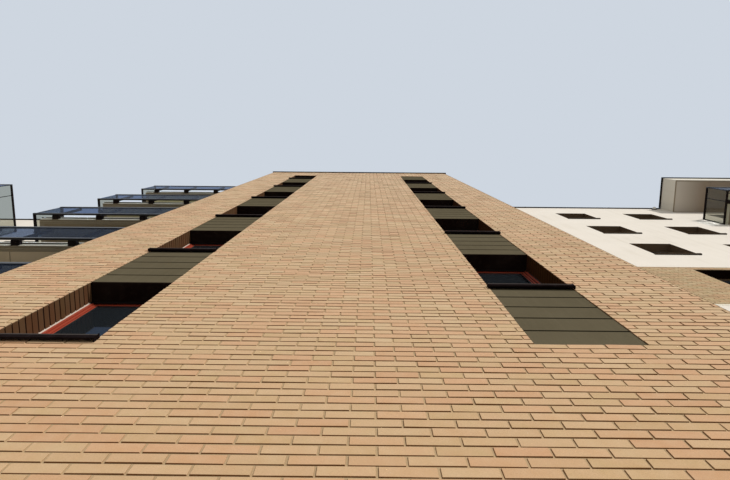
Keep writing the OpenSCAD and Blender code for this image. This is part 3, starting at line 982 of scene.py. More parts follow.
@dataclass(frozen=True)
class GlassFinish(Finish):
    """Coated glazing: a dark tinted reflection with a breath of dust.

    A pane with transmission lets the lamps' rays straight through, as real glass does, so that
    they light what is behind it.
    """

    colour: Rgb = tint(90, 98, 106)
    edge: Rgb = tint(120, 130, 140)
    dust: Rgb = tint(150, 160, 165)
    dust_share: float = 0.05
    specular: float = 0.5
    roughness: float = 0.03
    worn: float = 1.0
    patches: Veil = Veil(1.2)
    transmission: float = 0.0
    ior: float = 1.5
    passing: Rgb = (0.86, 0.88, 0.9)

    def paint(self, skin: Skin) -> None:
        """Lay the dust, set the shader's glass numbers and open the pane to shadow rays.

        Args:
            skin: the surface that is painted.
        """
        g = skin.graph
        streaks = skin.effect(Effect.STREAKS, self.streaks.scale)
        dirt = g.math("MULTIPLY", g.math("MULTIPLY", streaks, self.dust_share),
                      skin.effect(Effect.PATCHES, self.patches.scale))
        skin.lay(dirt, 1.0, self.dust)
        skin.close(dirt)
        g.feed(skin.shader, Transmission_Weight=self.transmission, IOR=self.ior,
               Specular_Tint=self.edge)
        if self.transmission > 0.0:
            clear = g.feed(g.add("BsdfTransparent"), self.passing).outputs["BSDF"]
            blend = g.feed(g.add("MixShader"), g.add("LightPath").outputs["Is Shadow Ray"],
                           skin.shader.outputs["BSDF"], clear)
            g.feed(skin.output, blend.outputs["Shader"])


# Openings and walls: where the windows are, and the faces that bricks are laid on.


def floor_z(storey: int | Array) -> float | Array:
    """Level of an upper floor, counted from 0."""
    return FIRST_FLOOR_Z + storey * STOREY_H


def window_rows(columns: list[float], levels: list[float], width: float, height: float) -> Array:
    """List the openings at every crossing of columns and levels.

    Args:
        columns: left edges.
        levels: sill levels.
        width: opening width.
        height: opening height.

    Returns:
        (openings, 4) left edge, sill level, width and height.
    """
    grid = np.stack(np.meshgrid(columns, levels, indexing="ij"), -1).reshape(-1, 2)
    size = np.broadcast_to([width, height], (len(grid), 2))
    return np.concatenate([grid, size], 1)


def centred_columns(*middles: float) -> list[float]:
    """Left edges of wing windows from their middles."""
    return [middle - WING_WINDOW_W / 2 for middle in middles]


LEFT_SILLS = [FIRST_SILL_Z + i * STOREY_H for i in range(STOREYS)]
TOWER_WINDOWS = np.concatenate([
    window_rows([LEFT_COLUMN_X], LEFT_SILLS, COLUMN_W, TOWER_WINDOW_H),
    window_rows([RIGHT_COLUMN_X], [z + RIGHT_SILL_RISE for z in LEFT_SILLS[:-1]], COLUMN_W,
                TOWER_WINDOW_H)])
SLOTS = window_rows([LEFT_COLUMN_X, RIGHT_COLUMN_X], [FIRST_SILL_Z], COLUMN_W,
                    SLOT_TOP - FIRST_SILL_Z)
INNER_LEFT_END = -HALF_TOWER - BALCONY_GAP - BALCONY_L
LEFT_BAY = (INNER_LEFT_END - OUTER_BALCONY_X) / 2
OUTER_BAY = OUTER_BALCONY_X + BALCONY_L / 2
RIGHT_COLUMNS = [WING_WINDOW_X, WING_WINDOW_X + WING_PITCH]
LEFT_COLUMNS = centred_columns(LEFT_BAY - WING_PITCH / 2, LEFT_BAY + WING_PITCH / 2)
REAR_COLUMNS = (RIGHT_COLUMNS + [-x - WING_WINDOW_W for x in RIGHT_COLUMNS]
                + centred_columns(-OUTER_BAY, OUTER_BAY, -WING_PITCH, WING_PITCH))
WING_SILLS = [GROUND_FLOOR_Z + SILL_H] + [floor_z(i) + SILL_H for i in range(STOREYS)]
LEFT_WINDOWS, RIGHT_WINDOWS, REAR_WINDOWS = (
    window_rows(columns, WING_SILLS, WING_WINDOW_W, WING_WINDOW_H)
    for columns in (LEFT_COLUMNS, RIGHT_COLUMNS, REAR_COLUMNS))
ENTRANCE = window_rows([ENTRANCE_X[0]], [GROUND_FLOOR_Z], ENTRANCE_X[1] - ENTRANCE_X[0],
                       ENTRANCE_H)
BAND_DOOR = window_rows([OUTER_BAY - DOORWAY_W / 2], [floor_z(2)], DOORWAY_W,
                        SILL_H + WING_WINDOW_H)


@dataclass(frozen=True)
class Plane:
    """An upright wall face: where its run starts, which way it runs and which way it looks."""

    origin: Vector
    run: Vector
    out: Vector

    def place(self, u: Array, d: Array, z: Array) -> Array:
        """Turn distances into places: origin + u * run + d * out + z * up.

        Args:
            u: distance along the wall.
            d: distance out from its face.
            z: level.

        Returns:
            The places, with 3 as the last size.
        """
        run, out = np.asarray(self.run), np.asarray(self.out)
        base = np.asarray(self.origin) + u[..., None] * run + d[..., None] * out
        return base + z[..., None] * np.asarray(UP, float)


FRONT_PLANE = Plane((0.0, FRONT_Y, 0.0), RIGHT, STREET)
LEFT_PLANE = Plane((0.0, LEFT_WALL_Y, 0.0), RIGHT, STREET)
RIGHT_PLANE = Plane((0.0, RIGHT_WALL_Y, 0.0), RIGHT, STREET)
REAR_PLANE = Plane((0.0, REAR_Y, 0.0), RIGHT, REARWARD)


@dataclass(frozen=True)
class Stack:
    """One stack of balconies: the ends, front and wall of its slabs."""

    x0: float
    x1: float
    front: float
    wall: float


BALCONY_STACKS = (
    Stack(INNER_LEFT_END, INNER_LEFT_END + BALCONY_L, LEFT_SLAB_Y, LEFT_WALL_Y),
    Stack(-OUTER_BALCONY_X - BALCONY_L, -OUTER_BALCONY_X, LEFT_SLAB_Y, LEFT_WALL_Y),
    Stack(OUTER_BALCONY_X, OUTER_BALCONY_X + BALCONY_L, RIGHT_SLAB_Y, RIGHT_WALL_Y))


# Brickwork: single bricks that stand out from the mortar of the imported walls.


class Phase(Enum):
    """What the lowest course of a wall starts with, in half bricks."""

    STRETCHER = 0
    HALF = 1


@dataclass
class BrickBond:
    """Lays running bond on a wall face as single bricks that stand out from the mortar."""

    length: float = 0.215
    height: float = 0.065
    joint: float = 0.01
    proud: float = 0.0047
    root: float = 0.002
    arris: float = 0.0016
    wobble: float = 0.001
    lean: float = 0.0008
    sliver_h: float = 0.012
    sliver_w: float = 0.02
    stagger: bool = True
    seed: int = 7

    @property
    def course(self) -> float:
        """Height of one course with its bed joint."""
        return self.height + self.joint

    @property
    def module(self) -> float:
        """Length of one brick with its cross joint."""
        return self.length + self.joint

    def lay(self, u0: float, u1: float, z0: float, z1: float, holes: Array | None = None,
            phase: Phase = Phase.STRETCHER, start: float | None = None) -> Array:
        """Set out the bricks of a wall.

        Every course is cut where an opening crosses it: beside the opening its bricks keep
        their full height, over and under it they are cut to what is left.

        Args:
            u0, u1: ends of the wall along its run.
            z0, z1: lowest and highest level.
            holes: (openings, 4) left edge, sill level, width and height.
            phase: what the lowest course starts with.
            start: where the bond is counted from, or None for u0.

        Returns:
            (bricks, 5) rows of left, right, low, high and course number.
        """
        holes = np.zeros((0, 4)) if holes is None else holes
        start = u0 if start is None else start
        rows = []
        for k in range(int(round((z1 - z0) / self.course))):
            low = z0 + k * self.course + self.joint / 2
            odd = (k + phase.value) % 2 if self.stagger else 0
            rows += [self._course_run(a, b, lo, hi, start - odd * self.module / 2, k)
                     for a, b, lo, hi in self._free_spans(u0, u1, low, low + self.height, holes)]
        return np.concatenate(rows)

    def _free_spans(self, u0: float, u1: float, low: float, high: float,
                    holes: Array) -> list[tuple[float, float, float, float]]:
        """Split one course at the openings that cross it.

        Args:
            u0, u1: ends of the wall along its run.
            low, high: levels of the course.
            holes: (openings, 4) left edge, sill level, width and height.

        Returns:
            Spans of left, right, low and high, those under and over an opening with their own
            heights, and none of them a sliver.
        """
        touch = 1e-6
        spans, at = [], u0
        for x, z, w, h in holes[np.argsort(holes[:, 0])]:
            if z < high - touch and z + h > low + touch:
                spans.append((at, x, low, high))
                spans += [(x, x + w, a, b) for a, b in ((low, z), (z + h, high))
                          if b - a > self.sliver_h]
                at = x + w
        spans.append((at, u1, low, high))
        return [s for s in spans if s[1] - s[0] > self.sliver_h]

    def _course_run(self, a: float, b: float, low: float, high: float, start: float,
                    number: int) -> Array:
        """Cut the endless run start + n * module to a span, without slivers.

        Args:
            a, b: ends of the span.
            low, high: its levels.
            start: where the bond is counted from.
            number: the course's number.

        Returns:
            (bricks, 5) rows of left, right, low, high and course number.
        """
        first = math.floor((a - start) / self.module) - 1
        last = math.ceil((b - start) / self.module) + 1
        left = start + self.module * np.arange(first, last)
        right = np.minimum(left + self.length, b)
        left = np.maximum(left, a)
        keep = right - left > self.sliver_w
        left, right = left[keep], right[keep]
        size = np.ones(len(left))
        return np.stack([left, right, low * size, high * size, number * size], 1)

    def tones(self, bricks: Array, seed: int) -> Array:
        """Draw the four tone values of every brick from a seeded generator."""
        return np.random.default_rng(self.seed + seed).random((len(bricks), 4))

    def solids(self, plane: Plane, bricks: Array, tones: Array, seed: int,
               grow: tuple[Array, Array] | None = None) -> TonedSolids:
        """Turn the rows into blocks with worn front edges.

        Three rings of four points: the back, inside the wall, the ring where the worn edge
        starts, and the front, drawn in by the arris. A brick's face leans a little, so corner
        (i, j) stands out by proud + shake + lean_u * i + lean_z * j, with i and j -1 or 1.

        Args:
            plane: the wall face.
            bricks: rows from lay.
            tones: rows from tones.
            seed: number of this wall's draws.
            grow: extra lengths at the left and right end of each brick, for corners.

        Returns:
            Points (bricks, 12, 3), the faces of one brick, and the tones.
        """
        draw = np.random.default_rng(1000 + self.seed + seed)
        n = len(bricks)
        shake = draw.uniform(-self.wobble, self.wobble, (5, n))
        u0, u1, z0, z1 = bricks[:, :4].T + shake[:4]
        tilt = draw.uniform(-self.lean, self.lean, (2, n, 1))
        out = (self.proud + shake[4])[:, None] + tilt[0] * [-1, 1, 1, -1]
        out = out + tilt[1] * [-1, -1, 1, 1]
        if grow is not None:
            u0 = np.where(grow[0] > 0, bricks[:, 0] - grow[0], u0)
            u1 = np.where(grow[1] > 0, bricks[:, 1] + grow[1], u1)
            out = np.where(((grow[0] > 0) | (grow[1] > 0))[:, None], self.proud, out)
        rings = []
        for inset, depth in ((0.0, np.full((n, 4), -self.root)), (0.0, out - self.arris),
                             (self.arris, out)):
            a, b, low, high = u0 + inset, u1 - inset, z0 + inset, z1 - inset
            rings.append(plane.place(np.stack([a, b, b, a], 1), depth,
                                     np.stack([low, low, high, high], 1)))
        return np.concatenate(rings, 1), [np.concatenate(tube(4, 3))], tones


@dataclass
class TowerBrickwork:
    """The tower's brick skin: front, two sides and the returns in the window reveals."""

    bond: BrickBond = field(default_factory=BrickBond)
    thin: BrickBond = field(default_factory=lambda: BrickBond(
        proud=0.004, seed=31, wobble=0.0008, lean=0.0004, stagger=False))
    bond_shift: float = -0.043
    edge_lap: float = 0.004
    near: float = 0.001
    corner_courses: int = 400

    def build(self, finish: Material, reveal_finish: Material) -> None:
        """Lay the front, the sides and the reveals.

        Args:
            finish: the brick's material.
            reveal_finish: the material of the bricks in the reveals.
        """
        bond = self.bond
        slots = SLOTS + [self.edge_lap, 0.0, -2 * self.edge_lap, 0.0]
        front = bond.lay(-HALF_TOWER, HALF_TOWER, 0.0, TOWER_TOP, slots,
                         start=-HALF_TOWER + self.bond_shift)
        tones = bond.tones(front, 1)
        corner = bond.tones(np.zeros(2 * self.corner_courses), 2)
        corner = corner.reshape(2, self.corner_courses, 4)
        courses = front[:, 4].astype(int)
        at_left = front[:, 0] < -HALF_TOWER + self.near
        at_right = front[:, 1] > HALF_TOWER - self.near
        tones[at_left] = corner[0][courses[at_left]]
        tones[at_right] = corner[1][courses[at_right]]
        grow = (np.where(at_left, bond.proud, 0.0), np.where(at_right, bond.proud, 0.0))
        make_piece("tower_front_bricks", finish, Slot.BRICK,
                   bond.solids(FRONT_PLANE, front, tones, 3, grow))
        make_piece("tower_left_bricks", finish, Slot.BRICK,
                   self._side(-1, LEFT_WALL_Y, Phase.HALF, corner[0]))
        make_piece("tower_right_bricks", finish, Slot.BRICK,
                   self._side(1, RIGHT_WALL_Y, Phase.STRETCHER, corner[1]))
        make_piece("tower_reveal_bricks", reveal_finish, Slot.BRICK, *self._returns())

    def _side(self, side: int, wall_y: float, phase: Phase, corner: Array) -> TonedSolids:
        """Lay one side of the tower, bonded into the front at the corner.

        Args:
            side: -1 for the left side, 1 for the right one.
            wall_y: face of the wing's wall that the side runs to.
            phase: what its lowest course starts with.
            corner: tones of the corner bricks, by course.

        Returns:
            The side's bricks.
        """
        plane = Plane((side * HALF_TOWER, FRONT_Y, 0.0), REARWARD, (side, 0, 0))
        bricks = self.bond.lay(0.0, wall_y - FRONT_Y, 0.0, TOWER_TOP, phase=phase)
        tones = self.bond.tones(bricks, 10 + side)
        first = bricks[:, 0] < self.near
        tones[first] = corner[bricks[first, 4].astype(int)]
        grow = (np.where(first, self.bond.proud, 0.0), np.zeros(len(bricks)))
        return self.bond.solids(plane, bricks, tones, 20 + side, grow)

    def _returns(self) -> list[TonedSolids]:
        """Turn the bricks into every window's two jambs, as deep as the reveal.

        Returns:
            The bricks of each jamb.
        """
        batches = []
        for n, (x, z, w, h) in enumerate(TOWER_WINDOWS):
            for edge, look in ((x, RIGHT), (x + w, LEFT)):
                bricks = self.thin.lay(0.0, REVEAL, z, z + h)
                batches.append(self.thin.solids(Plane((edge, FRONT_Y, 0.0), REARWARD, look),
                                                bricks, self.thin.tones(bricks, 40 + n), 50 + n))
        return batches


@dataclass
class WingBrickwork:
    """The brick base of the wings and the rear, and the band of one storey at the right."""

    bond: BrickBond = field(default_factory=lambda: BrickBond(seed=90))

    def build(self, finish: Material) -> None:
        """Lay the four stretches of wall.

        Args:
            finish: the brick's material.
        """
        left, right = (-HALF_BLOCK, -HALF_TOWER), (HALF_TOWER, HALF_BLOCK)
        base, band = (0.0, BASE_TOP), (BAND_BASE, BAND_TOP)
        for n, (name, plane, ends, levels, holes) in enumerate((
                ("left_base_bricks", LEFT_PLANE, left, base, (LEFT_WINDOWS,)),
                ("right_base_bricks", RIGHT_PLANE, right, base, (RIGHT_WINDOWS, ENTRANCE)),
                ("right_band_bricks", RIGHT_PLANE, right, band, (RIGHT_WINDOWS, BAND_DOOR)),
                ("rear_base_bricks", REAR_PLANE, (-HALF_BLOCK, HALF_BLOCK), base,
                 (REAR_WINDOWS,)))):
            bricks = self.bond.lay(*ends, *levels, np.concatenate(holes), start=HALF_TOWER)
            make_piece(name, finish, Slot.BRICK,
                       self.bond.solids(plane, bricks, self.bond.tones(bricks, n), 100 + n))


# Windows and the tower's slots.


@dataclass
class WindowTrims:
    """Sealant round the frames, gaskets round the panes and a closing angle under each head."""

    sealant: float = 0.011
    gasket: float = 0.006
    frame_w: float = 0.07
    glass_set: float = 0.0235
    head_trim: float = 0.02
    angle_h: float = 0.04
    angle_out: float = 0.008
    angle_clear: float = 0.004
    angle_cut: float = 0.0015

    def build(self, sealant: Material, rubber: Material, dark: Material) -> None:
        """Run the two beads round every window and close the joint under the tower's heads.

        Args:
            sealant: material of the bead between reveal and frame.
            rubber: material of the gasket between bead and pane.
            dark: material of the closing angles.
        """
        x, z, w, h = TOWER_WINDOWS.T
        top, face = z + h - self.head_trim, FRONT_Y + REVEAL
        low = spots(x + self.angle_clear, face - self.angle_out, top - self.angle_h)
        high = spots(x + w - self.angle_clear, face + SUNK, top + SUNK)
        make_piece("window_head_angles", dark, Slot.METAL,
                   bevelled_blocks(low, high, self.angle_cut))
        s, q, glass = self.sealant, self.gasket, self.glass_set
        bead = np.array([[-SUNK, -s], [s * 0.55, -s * 0.45], [s, SUNK], [-SUNK, SUNK]])
        make_piece("tower_window_sealant", sealant, Slot.FRAME,
                   window_loops(TOWER_WINDOWS, bead, face))
        line = np.array([[0.0, glass - q], [q * 0.7, glass - q * 0.7], [q, glass + SUNK],
                         [0.0, glass + SUNK]])
        inset = np.array([1, 1, -2, -2]) * self.frame_w
        make_piece("window_gaskets", rubber, Slot.METAL, *(
            window_loops(windows + inset, line, face_y + inward * REVEAL, inward)
            for windows, face_y, inward in (
                (TOWER_WINDOWS, FRONT_Y, 1), (LEFT_WINDOWS, LEFT_WALL_Y, 1),
                (RIGHT_WINDOWS, RIGHT_WALL_Y, 1), (REAR_WINDOWS, REAR_Y, -1))))


@dataclass
class Spandrels:
    """Black joint profiles between the boards and welted front edges on the tower's sills."""

    boards: int = 5
    profile_h: float = 0.02
    profile_out: float = 0.0012
    profile_root: float = 0.002
    profile_clear: float = 0.004
    board_gap: float = 0.01
    board_y: float = -5.997
    least_panel: float = 0.1
    lip: float = 0.006
    sill_side: float = 0.006
    sill_out: float = 0.033
    sill_top: float = 0.01

    def panels(self) -> Array:
        """List the boarded panels between the windows of each column.

        Returns:
            (panels, 3) left edge, foot and top.
        """
        rows = []
        for x in (LEFT_COLUMN_X, RIGHT_COLUMN_X):
            sills = TOWER_WINDOWS[np.isclose(TOWER_WINDOWS[:, 0], x), 1]
            feet = np.concatenate([[FIRST_SILL_Z], sills + TOWER_WINDOW_H])
            tops = np.concatenate([sills, [SLOT_TOP]])
            rows += [(x, a, b) for a, b in zip(feet, tops) if b - a > self.least_panel]
        return np.array(rows)

    def build(self, joint: Material, edge: Material) -> None:
        """Set the profiles over the joints and the edges along the sills.

        Args:
            joint: material of the profiles.
            edge: material of the sills' edges.
        """
        x, foot, top = self.panels().T
        step = np.arange(1, self.boards)
        pitch = (top - foot) / self.boards
        level = (foot[:, None] + pitch[:, None] * step - self.board_gap / 2).ravel()
        left = np.repeat(x, len(step)) + self.profile_clear
        out, root, h = self.profile_out, self.profile_root, self.profile_h / 2
        outline = np.array([[root, -h], [-out, SUNK - h], [-out, h - SUNK], [root, h]])
        make_piece("board_joint_profiles", joint, Slot.METAL,
                   prism(outline, spots(left, self.board_y, level),
                         (COLUMN_W - 2 * self.profile_clear, 0, 0), REARWARD))
        welt = self.lip * np.array([[1, 0], [0, 0.2], [-0.35, -0.5], [-0.35, -1.6], [0, -2.2],
                                    [1, -2.2]])
        x, z = TOWER_WINDOWS[:, 0] - self.sill_side, TOWER_WINDOWS[:, 1] + self.sill_top
        make_piece("tower_sill_welts", edge, Slot.METAL,
                   prism(welt, spots(x, FRONT_Y - self.sill_out, z),
                         (COLUMN_W + 2 * self.sill_side, 0, 0), REARWARD))


@dataclass
class BandLinings:
    """Dark linings in the reveals of the windows in the brick band."""

    thickness: float = 0.0075
    clear: float = 0.006
    over_sill: float = 0.03
    cut: float = 0.001

    def build(self, finish: Material) -> None:
        """Line the head and both jambs of each window.

        Args:
            finish: the sheet's material.
        """
        inside = (RIGHT_WINDOWS[:, 1] > BAND_BASE) & (RIGHT_WINDOWS[:, 1] < BAND_TOP)
        x, z, w, h = RIGHT_WINDOWS[inside].T
        t, foot, under = self.thickness, z + self.over_sill, z + h - self.thickness
        y0, y1 = RIGHT_WALL_Y + self.clear, RIGHT_WALL_Y + REVEAL - SUNK
        make_piece("band_window_linings", finish, Slot.METAL, *(
            bevelled_blocks(spots(left, y0, low), spots(right, y1, high), self.cut)
            for left, right, low, high in ((x, x + w, under, z + h + SUNK),
                                           (x - SUNK, x + t, foot, under),
                                           (x + w - t, x + w + SUNK, foot, under))))


# Balconies and canopy.


@dataclass
class SoffitPanels:
    """A row of panels under a slab, with gaps between them and a margin round them."""

    thickness: float = 0.006
    margin: float = 0.09
    wall_gap: float = 0.03
    gap: float = 0.012
    count: int = 3
    cut: float = 0.0025

    def under(self, slab: Stack, level: float) -> Solids:
        """Divide a slab's length into equal panels.

        Panel k starts at start + k * (size + gap), with size the length less its gaps / count.

        Args:
            slab: the slab's ends, front and wall.
            level: its underside.

        Returns:
            The panels.
        """
        start, end = slab.x0 + self.margin, slab.x1 - self.margin
        size = (end - start - (self.count - 1) * self.gap) / self.count
        left = start + np.arange(self.count) * (size + self.gap)
        low = spots(left, slab.front + self.margin, level - self.thickness)
        high = spots(left + size, slab.wall - self.wall_gap, level + SUNK)
        return bevelled_blocks(low, high, self.cut)


@dataclass
class Soffits:
    """Soffit panels under the balconies, with painted light for each storey, and under the
    canopy.
    """

    balcony: SoffitPanels = field(default_factory=SoffitPanels)
    canopy: SoffitPanels = field(default_factory=lambda: SoffitPanels(
        thickness=0.008, margin=0.045, wall_gap=0.02, cut=0.003))
    # painted light: how much of the lighter and of the warmer colour each storey's soffits take
    light_of_storey: tuple[float, ...] = (0.0, 0.0, 0.0, 0.06, 0.45, 1.0)
    warm_light_of_storey: tuple[float, ...] = (1.0, 1.0, 1.0, 0.0, 0.0, 0.0)

    def build(self, board: Material, render: Material) -> None:
        """Fix the panels.

        Args:
            board: material under the balconies.
            render: material under the canopy.
        """
        make_piece("balcony_soffit_panels", board, Slot.SLAB, *(
            (*self.balcony.under(stack, floor_z(i) - SLAB_T),
             np.tile((*tone, 0.5, 1.0), (self.balcony.count, 1)))
            for stack in BALCONY_STACKS
            for i, tone in enumerate(zip(self.light_of_storey, self.warm_light_of_storey))))
        canopy = Stack(*CANOPY_X, CANOPY_Y, RIGHT_WALL_Y)
        make_piece("canopy_soffit_panels", render, Slot.SLAB,
                   self.canopy.under(canopy, ROOF_Z - CANOPY_FOOT))


@dataclass
class BalconyDecks:
    """Paving tiles on the slabs, and dark trims along their front edges that also paint a shadow
    line.
    """

    tile: float = 0.6
    tile_t: float = 0.015
    gap: float = 0.006
    margin: float = 0.04
    wall_gap: float = 0.02
    cut: float = 0.002
    slab_out: float = 0.02
    edge_t: float = 0.006
    edge_root: float = 0.002
    edge_line: tuple[float, float] = (0.088, 0.112)

    def build(self, paving: Material, metal: Material) -> None:
        """Lay the tiles and run a dark trim along the front of every slab, half way up.

        Args:
            paving: material of the tiles.
            metal: material of the trims.
        """
        make_piece("balcony_tiles", paving, Slot.CONCRETE, *(
            bevelled_blocks(*self._tiles(stack, i), self.cut)
            for stack in BALCONY_STACKS for i in range(STOREYS)))
        # painted shadow: the dark trim half way up each slab's front stands for the shadow that
        # the bottom rail casts there
        foot, top, root = *self.edge_line, self.edge_root
        z = floor_z(np.arange(STOREYS)) - SLAB_T
        make_piece("slab_edge_trims", metal, Slot.METAL, *(
            bevelled_blocks(
                spots(stack.x0 + root, stack.front - self.slab_out - self.edge_t, z + foot),
                spots(stack.x1 - root, stack.front - self.slab_out + root, z + top), self.cut)
            for stack in BALCONY_STACKS))

    def _tiles(self, stack: Stack, storey: int) -> tuple[Array, Array]:
        """Divide one slab into whole tiles, as near to the tile's size as they come.

        Args:
            stack: the stack of balconies.
            storey: the floor, counted from 0.

        Returns:
            The tiles' lowest and highest corners.
        """
        start = np.array([stack.x0 + self.margin, stack.front + self.margin])
        end = np.array([stack.x1 - self.margin, stack.wall - self.wall_gap])
        count = np.round((end - start) / self.tile).astype(int)
        cell = (end - start + self.gap) / count
        grid = np.stack(np.meshgrid(*map(np.arange, count), indexing="ij"), -1)
        corner = start + grid.reshape(-1, 2) * cell
        z = np.full((len(corner), 1), floor_z(storey))
        return (np.concatenate([corner, z - SUNK], 1),
                np.concatenate([corner + cell - self.gap, z + self.tile_t], 1))


# Roof and copings.


@dataclass
class RoofCovering:
    """Felt on the roof and in the canopy's tray: lapped sheets, upstands and outlets."""

    sheet: float = 1.0
    lap: float = 0.08
    step_in: float = 0.012
    step_out: float = 0.004
    thickness: float = 0.004
    upstand_h: float = 0.17
    outlets: tuple[tuple[float, float], ...] = (
        (-10.5, 5.2), (-3.5, 5.2), (3.5, 5.2), (10.5, 5.2), (10.8, -5.0))
    flange: tuple[tuple[float, float], ...] = ((0.14, -0.008), (0.14, 0.003), (0.1, 0.006),
                                               (0.02, 0.006))
    dome: tuple[tuple[float, float], ...] = (
        (0.088, 0.004), (0.09, 0.02), (0.084, 0.045), (0.062, 0.066), (0.03, 0.077),
        (0.01, 0.079))

    def build(self, felt: Material, metal: Material) -> None:
        """Lay the sheets, turn them up at the walls and set the outlets.

        Args:
            felt: material of the sheets.
            metal: material of the outlets.
        """
        end, tower, rear = HALF_BLOCK - WALL_T, HALF_TOWER - WALL_T, REAR_Y - WALL_T
        left, right, front = LEFT_WALL_Y + WALL_T, RIGHT_WALL_Y + WALL_T, FRONT_Y + WALL_T
        tray_x = (CANOPY_X[0] + CANOPY_UPSTAND, CANOPY_X[1] - CANOPY_UPSTAND)
        tray_y = (CANOPY_Y + CANOPY_UPSTAND, RIGHT_WALL_Y - SUNK)
        make_piece("roof_felt", felt, Slot.CONCRETE, *self._sheets(-end, -tower, left, rear),
                   *self._sheets(-tower, tower, front, rear),
                   *self._sheets(tower, end, right, rear), *self._sheets(*tray_x, *tray_y))
        t = self.thickness
        turn = np.array([[-SUNK, 0.0], [0.07, 0.0], [0.07, 2 * t], [0.045, 0.014], [0.01, 0.05],
                         [2 * t, 0.09], [2 * t, self.upstand_h], [-SUNK, self.upstand_h]])
        roof = np.array([[-end, left], [-tower, left], [-tower, front], [tower, front],
                         [tower, right], [end, right], [end, rear], [-end, rear]])
        tray = np.array([(tray_x[i], tray_y[j]) for i, j in ((0, 0), (1, 0), (1, 1), (0, 1))])
        make_piece("roof_upstands", felt, Slot.CONCRETE,
                   *(skirting(path, turn, ROOF_Z) for path in (roof, tray)))
        places = spots(*np.transpose(self.outlets), ROOF_Z + 2 * t)
        make_piece("roof_outlets", metal, Slot.METAL, lathe(np.array(self.flange), places, UP),
                   lathe(np.array(self.dome), places, UP, segments=48, flute=0.07))

    def _sheets(self, x0: float, x1: float, y0: float, y1: float) -> tuple[Solids, Solids]:
        """Lay sheets that run along Y, each lapping onto the one at its left.

        In section a sheet is flat, and its lap lies one thickness higher on its neighbour.

        Args:
            x0, x1, y0, y1: edges of the stretch of roof.

        Returns:
            The first sheet, and the others.
        """
        n = math.ceil((x1 - x0) / (self.sheet - self.lap))
        w, t = (x1 - x0) / n, self.thickness
        starts = spots(x0 + w * np.arange(n), y0, ROOF_Z)
        plain = np.array([[0, -SUNK], [w, -SUNK], [w, t], [0, t]])
        lapped = np.array([[0, -SUNK], [w, -SUNK], [w, t], [self.step_in, t], [0, 2 * t],
                           [-self.lap, 2 * t], [-self.lap, t], [-self.step_out, t]])
        run = (0, y1 - y0, 0)
        return prism(plain, starts[:1], run, RIGHT), prism(lapped, starts[1:], run, RIGHT)


@dataclass
class CopingStraps:
    """Thin cover straps over the joints between two lengths of coping."""

    width: float = 0.06
    thickness: float = 0.002
    length: float = 2.9
    foot: float = 0.032

    def build(self, metal: Material) -> None:
        """Set the straps along every run of coping, given by its ends and the way across it.

        Args:
            metal: material of the straps.
        """
        rear, inner_x = COPING_REAR_Y - COPING_W, COPING_END - COPING_W
        runs = (
            ((-COPING_END, LEFT_COPING_Y), (-HALF_TOWER, LEFT_COPING_Y), REARWARD),
            ((HALF_TOWER, RIGHT_COPING_Y), (COPING_END, RIGHT_COPING_Y), REARWARD),
            ((-COPING_END, rear), (COPING_END, rear), REARWARD),
            ((-COPING_END, LEFT_COPING_Y + COPING_W), (-COPING_END, rear), RIGHT),
            ((inner_x, RIGHT_COPING_Y + COPING_W), (inner_x, rear), RIGHT))
        straps = [self._run(start, end, WALL_TOP, across, COPING_W)
                  for start, end, across in runs]
        straps.append(self._run((-TOWER_COPING_X, TOWER_COPING_Y),
                                (TOWER_COPING_X, TOWER_COPING_Y), TOWER_TOP, REARWARD, COPING_W))
        straps.append(self._run((CANOPY_COPING_X[0], CANOPY_COPING_Y),
                                (CANOPY_COPING_X[1], CANOPY_COPING_Y), WALL_TOP, REARWARD,
                                CANOPY_COPING_W))
        make_piece("coping_straps", metal, Slot.METAL, *straps)

    def _run(self, start: tuple[float, float], end: tuple[float, float], level: float,
             across: Vector, size: float) -> Solids:
        """Wrap a strap round the top and both faces of the coping at each joint of a run.

        Args:
            start, end: plan ends of the run.
            level: foot of the coping.
            across: direction across the coping.
            size: width of the coping.

        Returns:
            The run's straps.
        """
        start, end = np.array([*start, level]), np.array([*end, level])
        span = np.linalg.norm(end - start)
        lengths = max(2, round(span / self.length))
        along = (end - start) / span
        at = span * np.arange(1, lengths) / lengths - self.width / 2
        t, foot, top = self.thickness, self.foot, COPING_T
        outline = np.array([[-t, foot], [0, foot], [0, top], [size, top], [size, foot],
                            [size + t, foot], [size + t, top + t], [-t, top + t]])
        return prism(outline, start + at[:, None] * along, along * self.width, across)


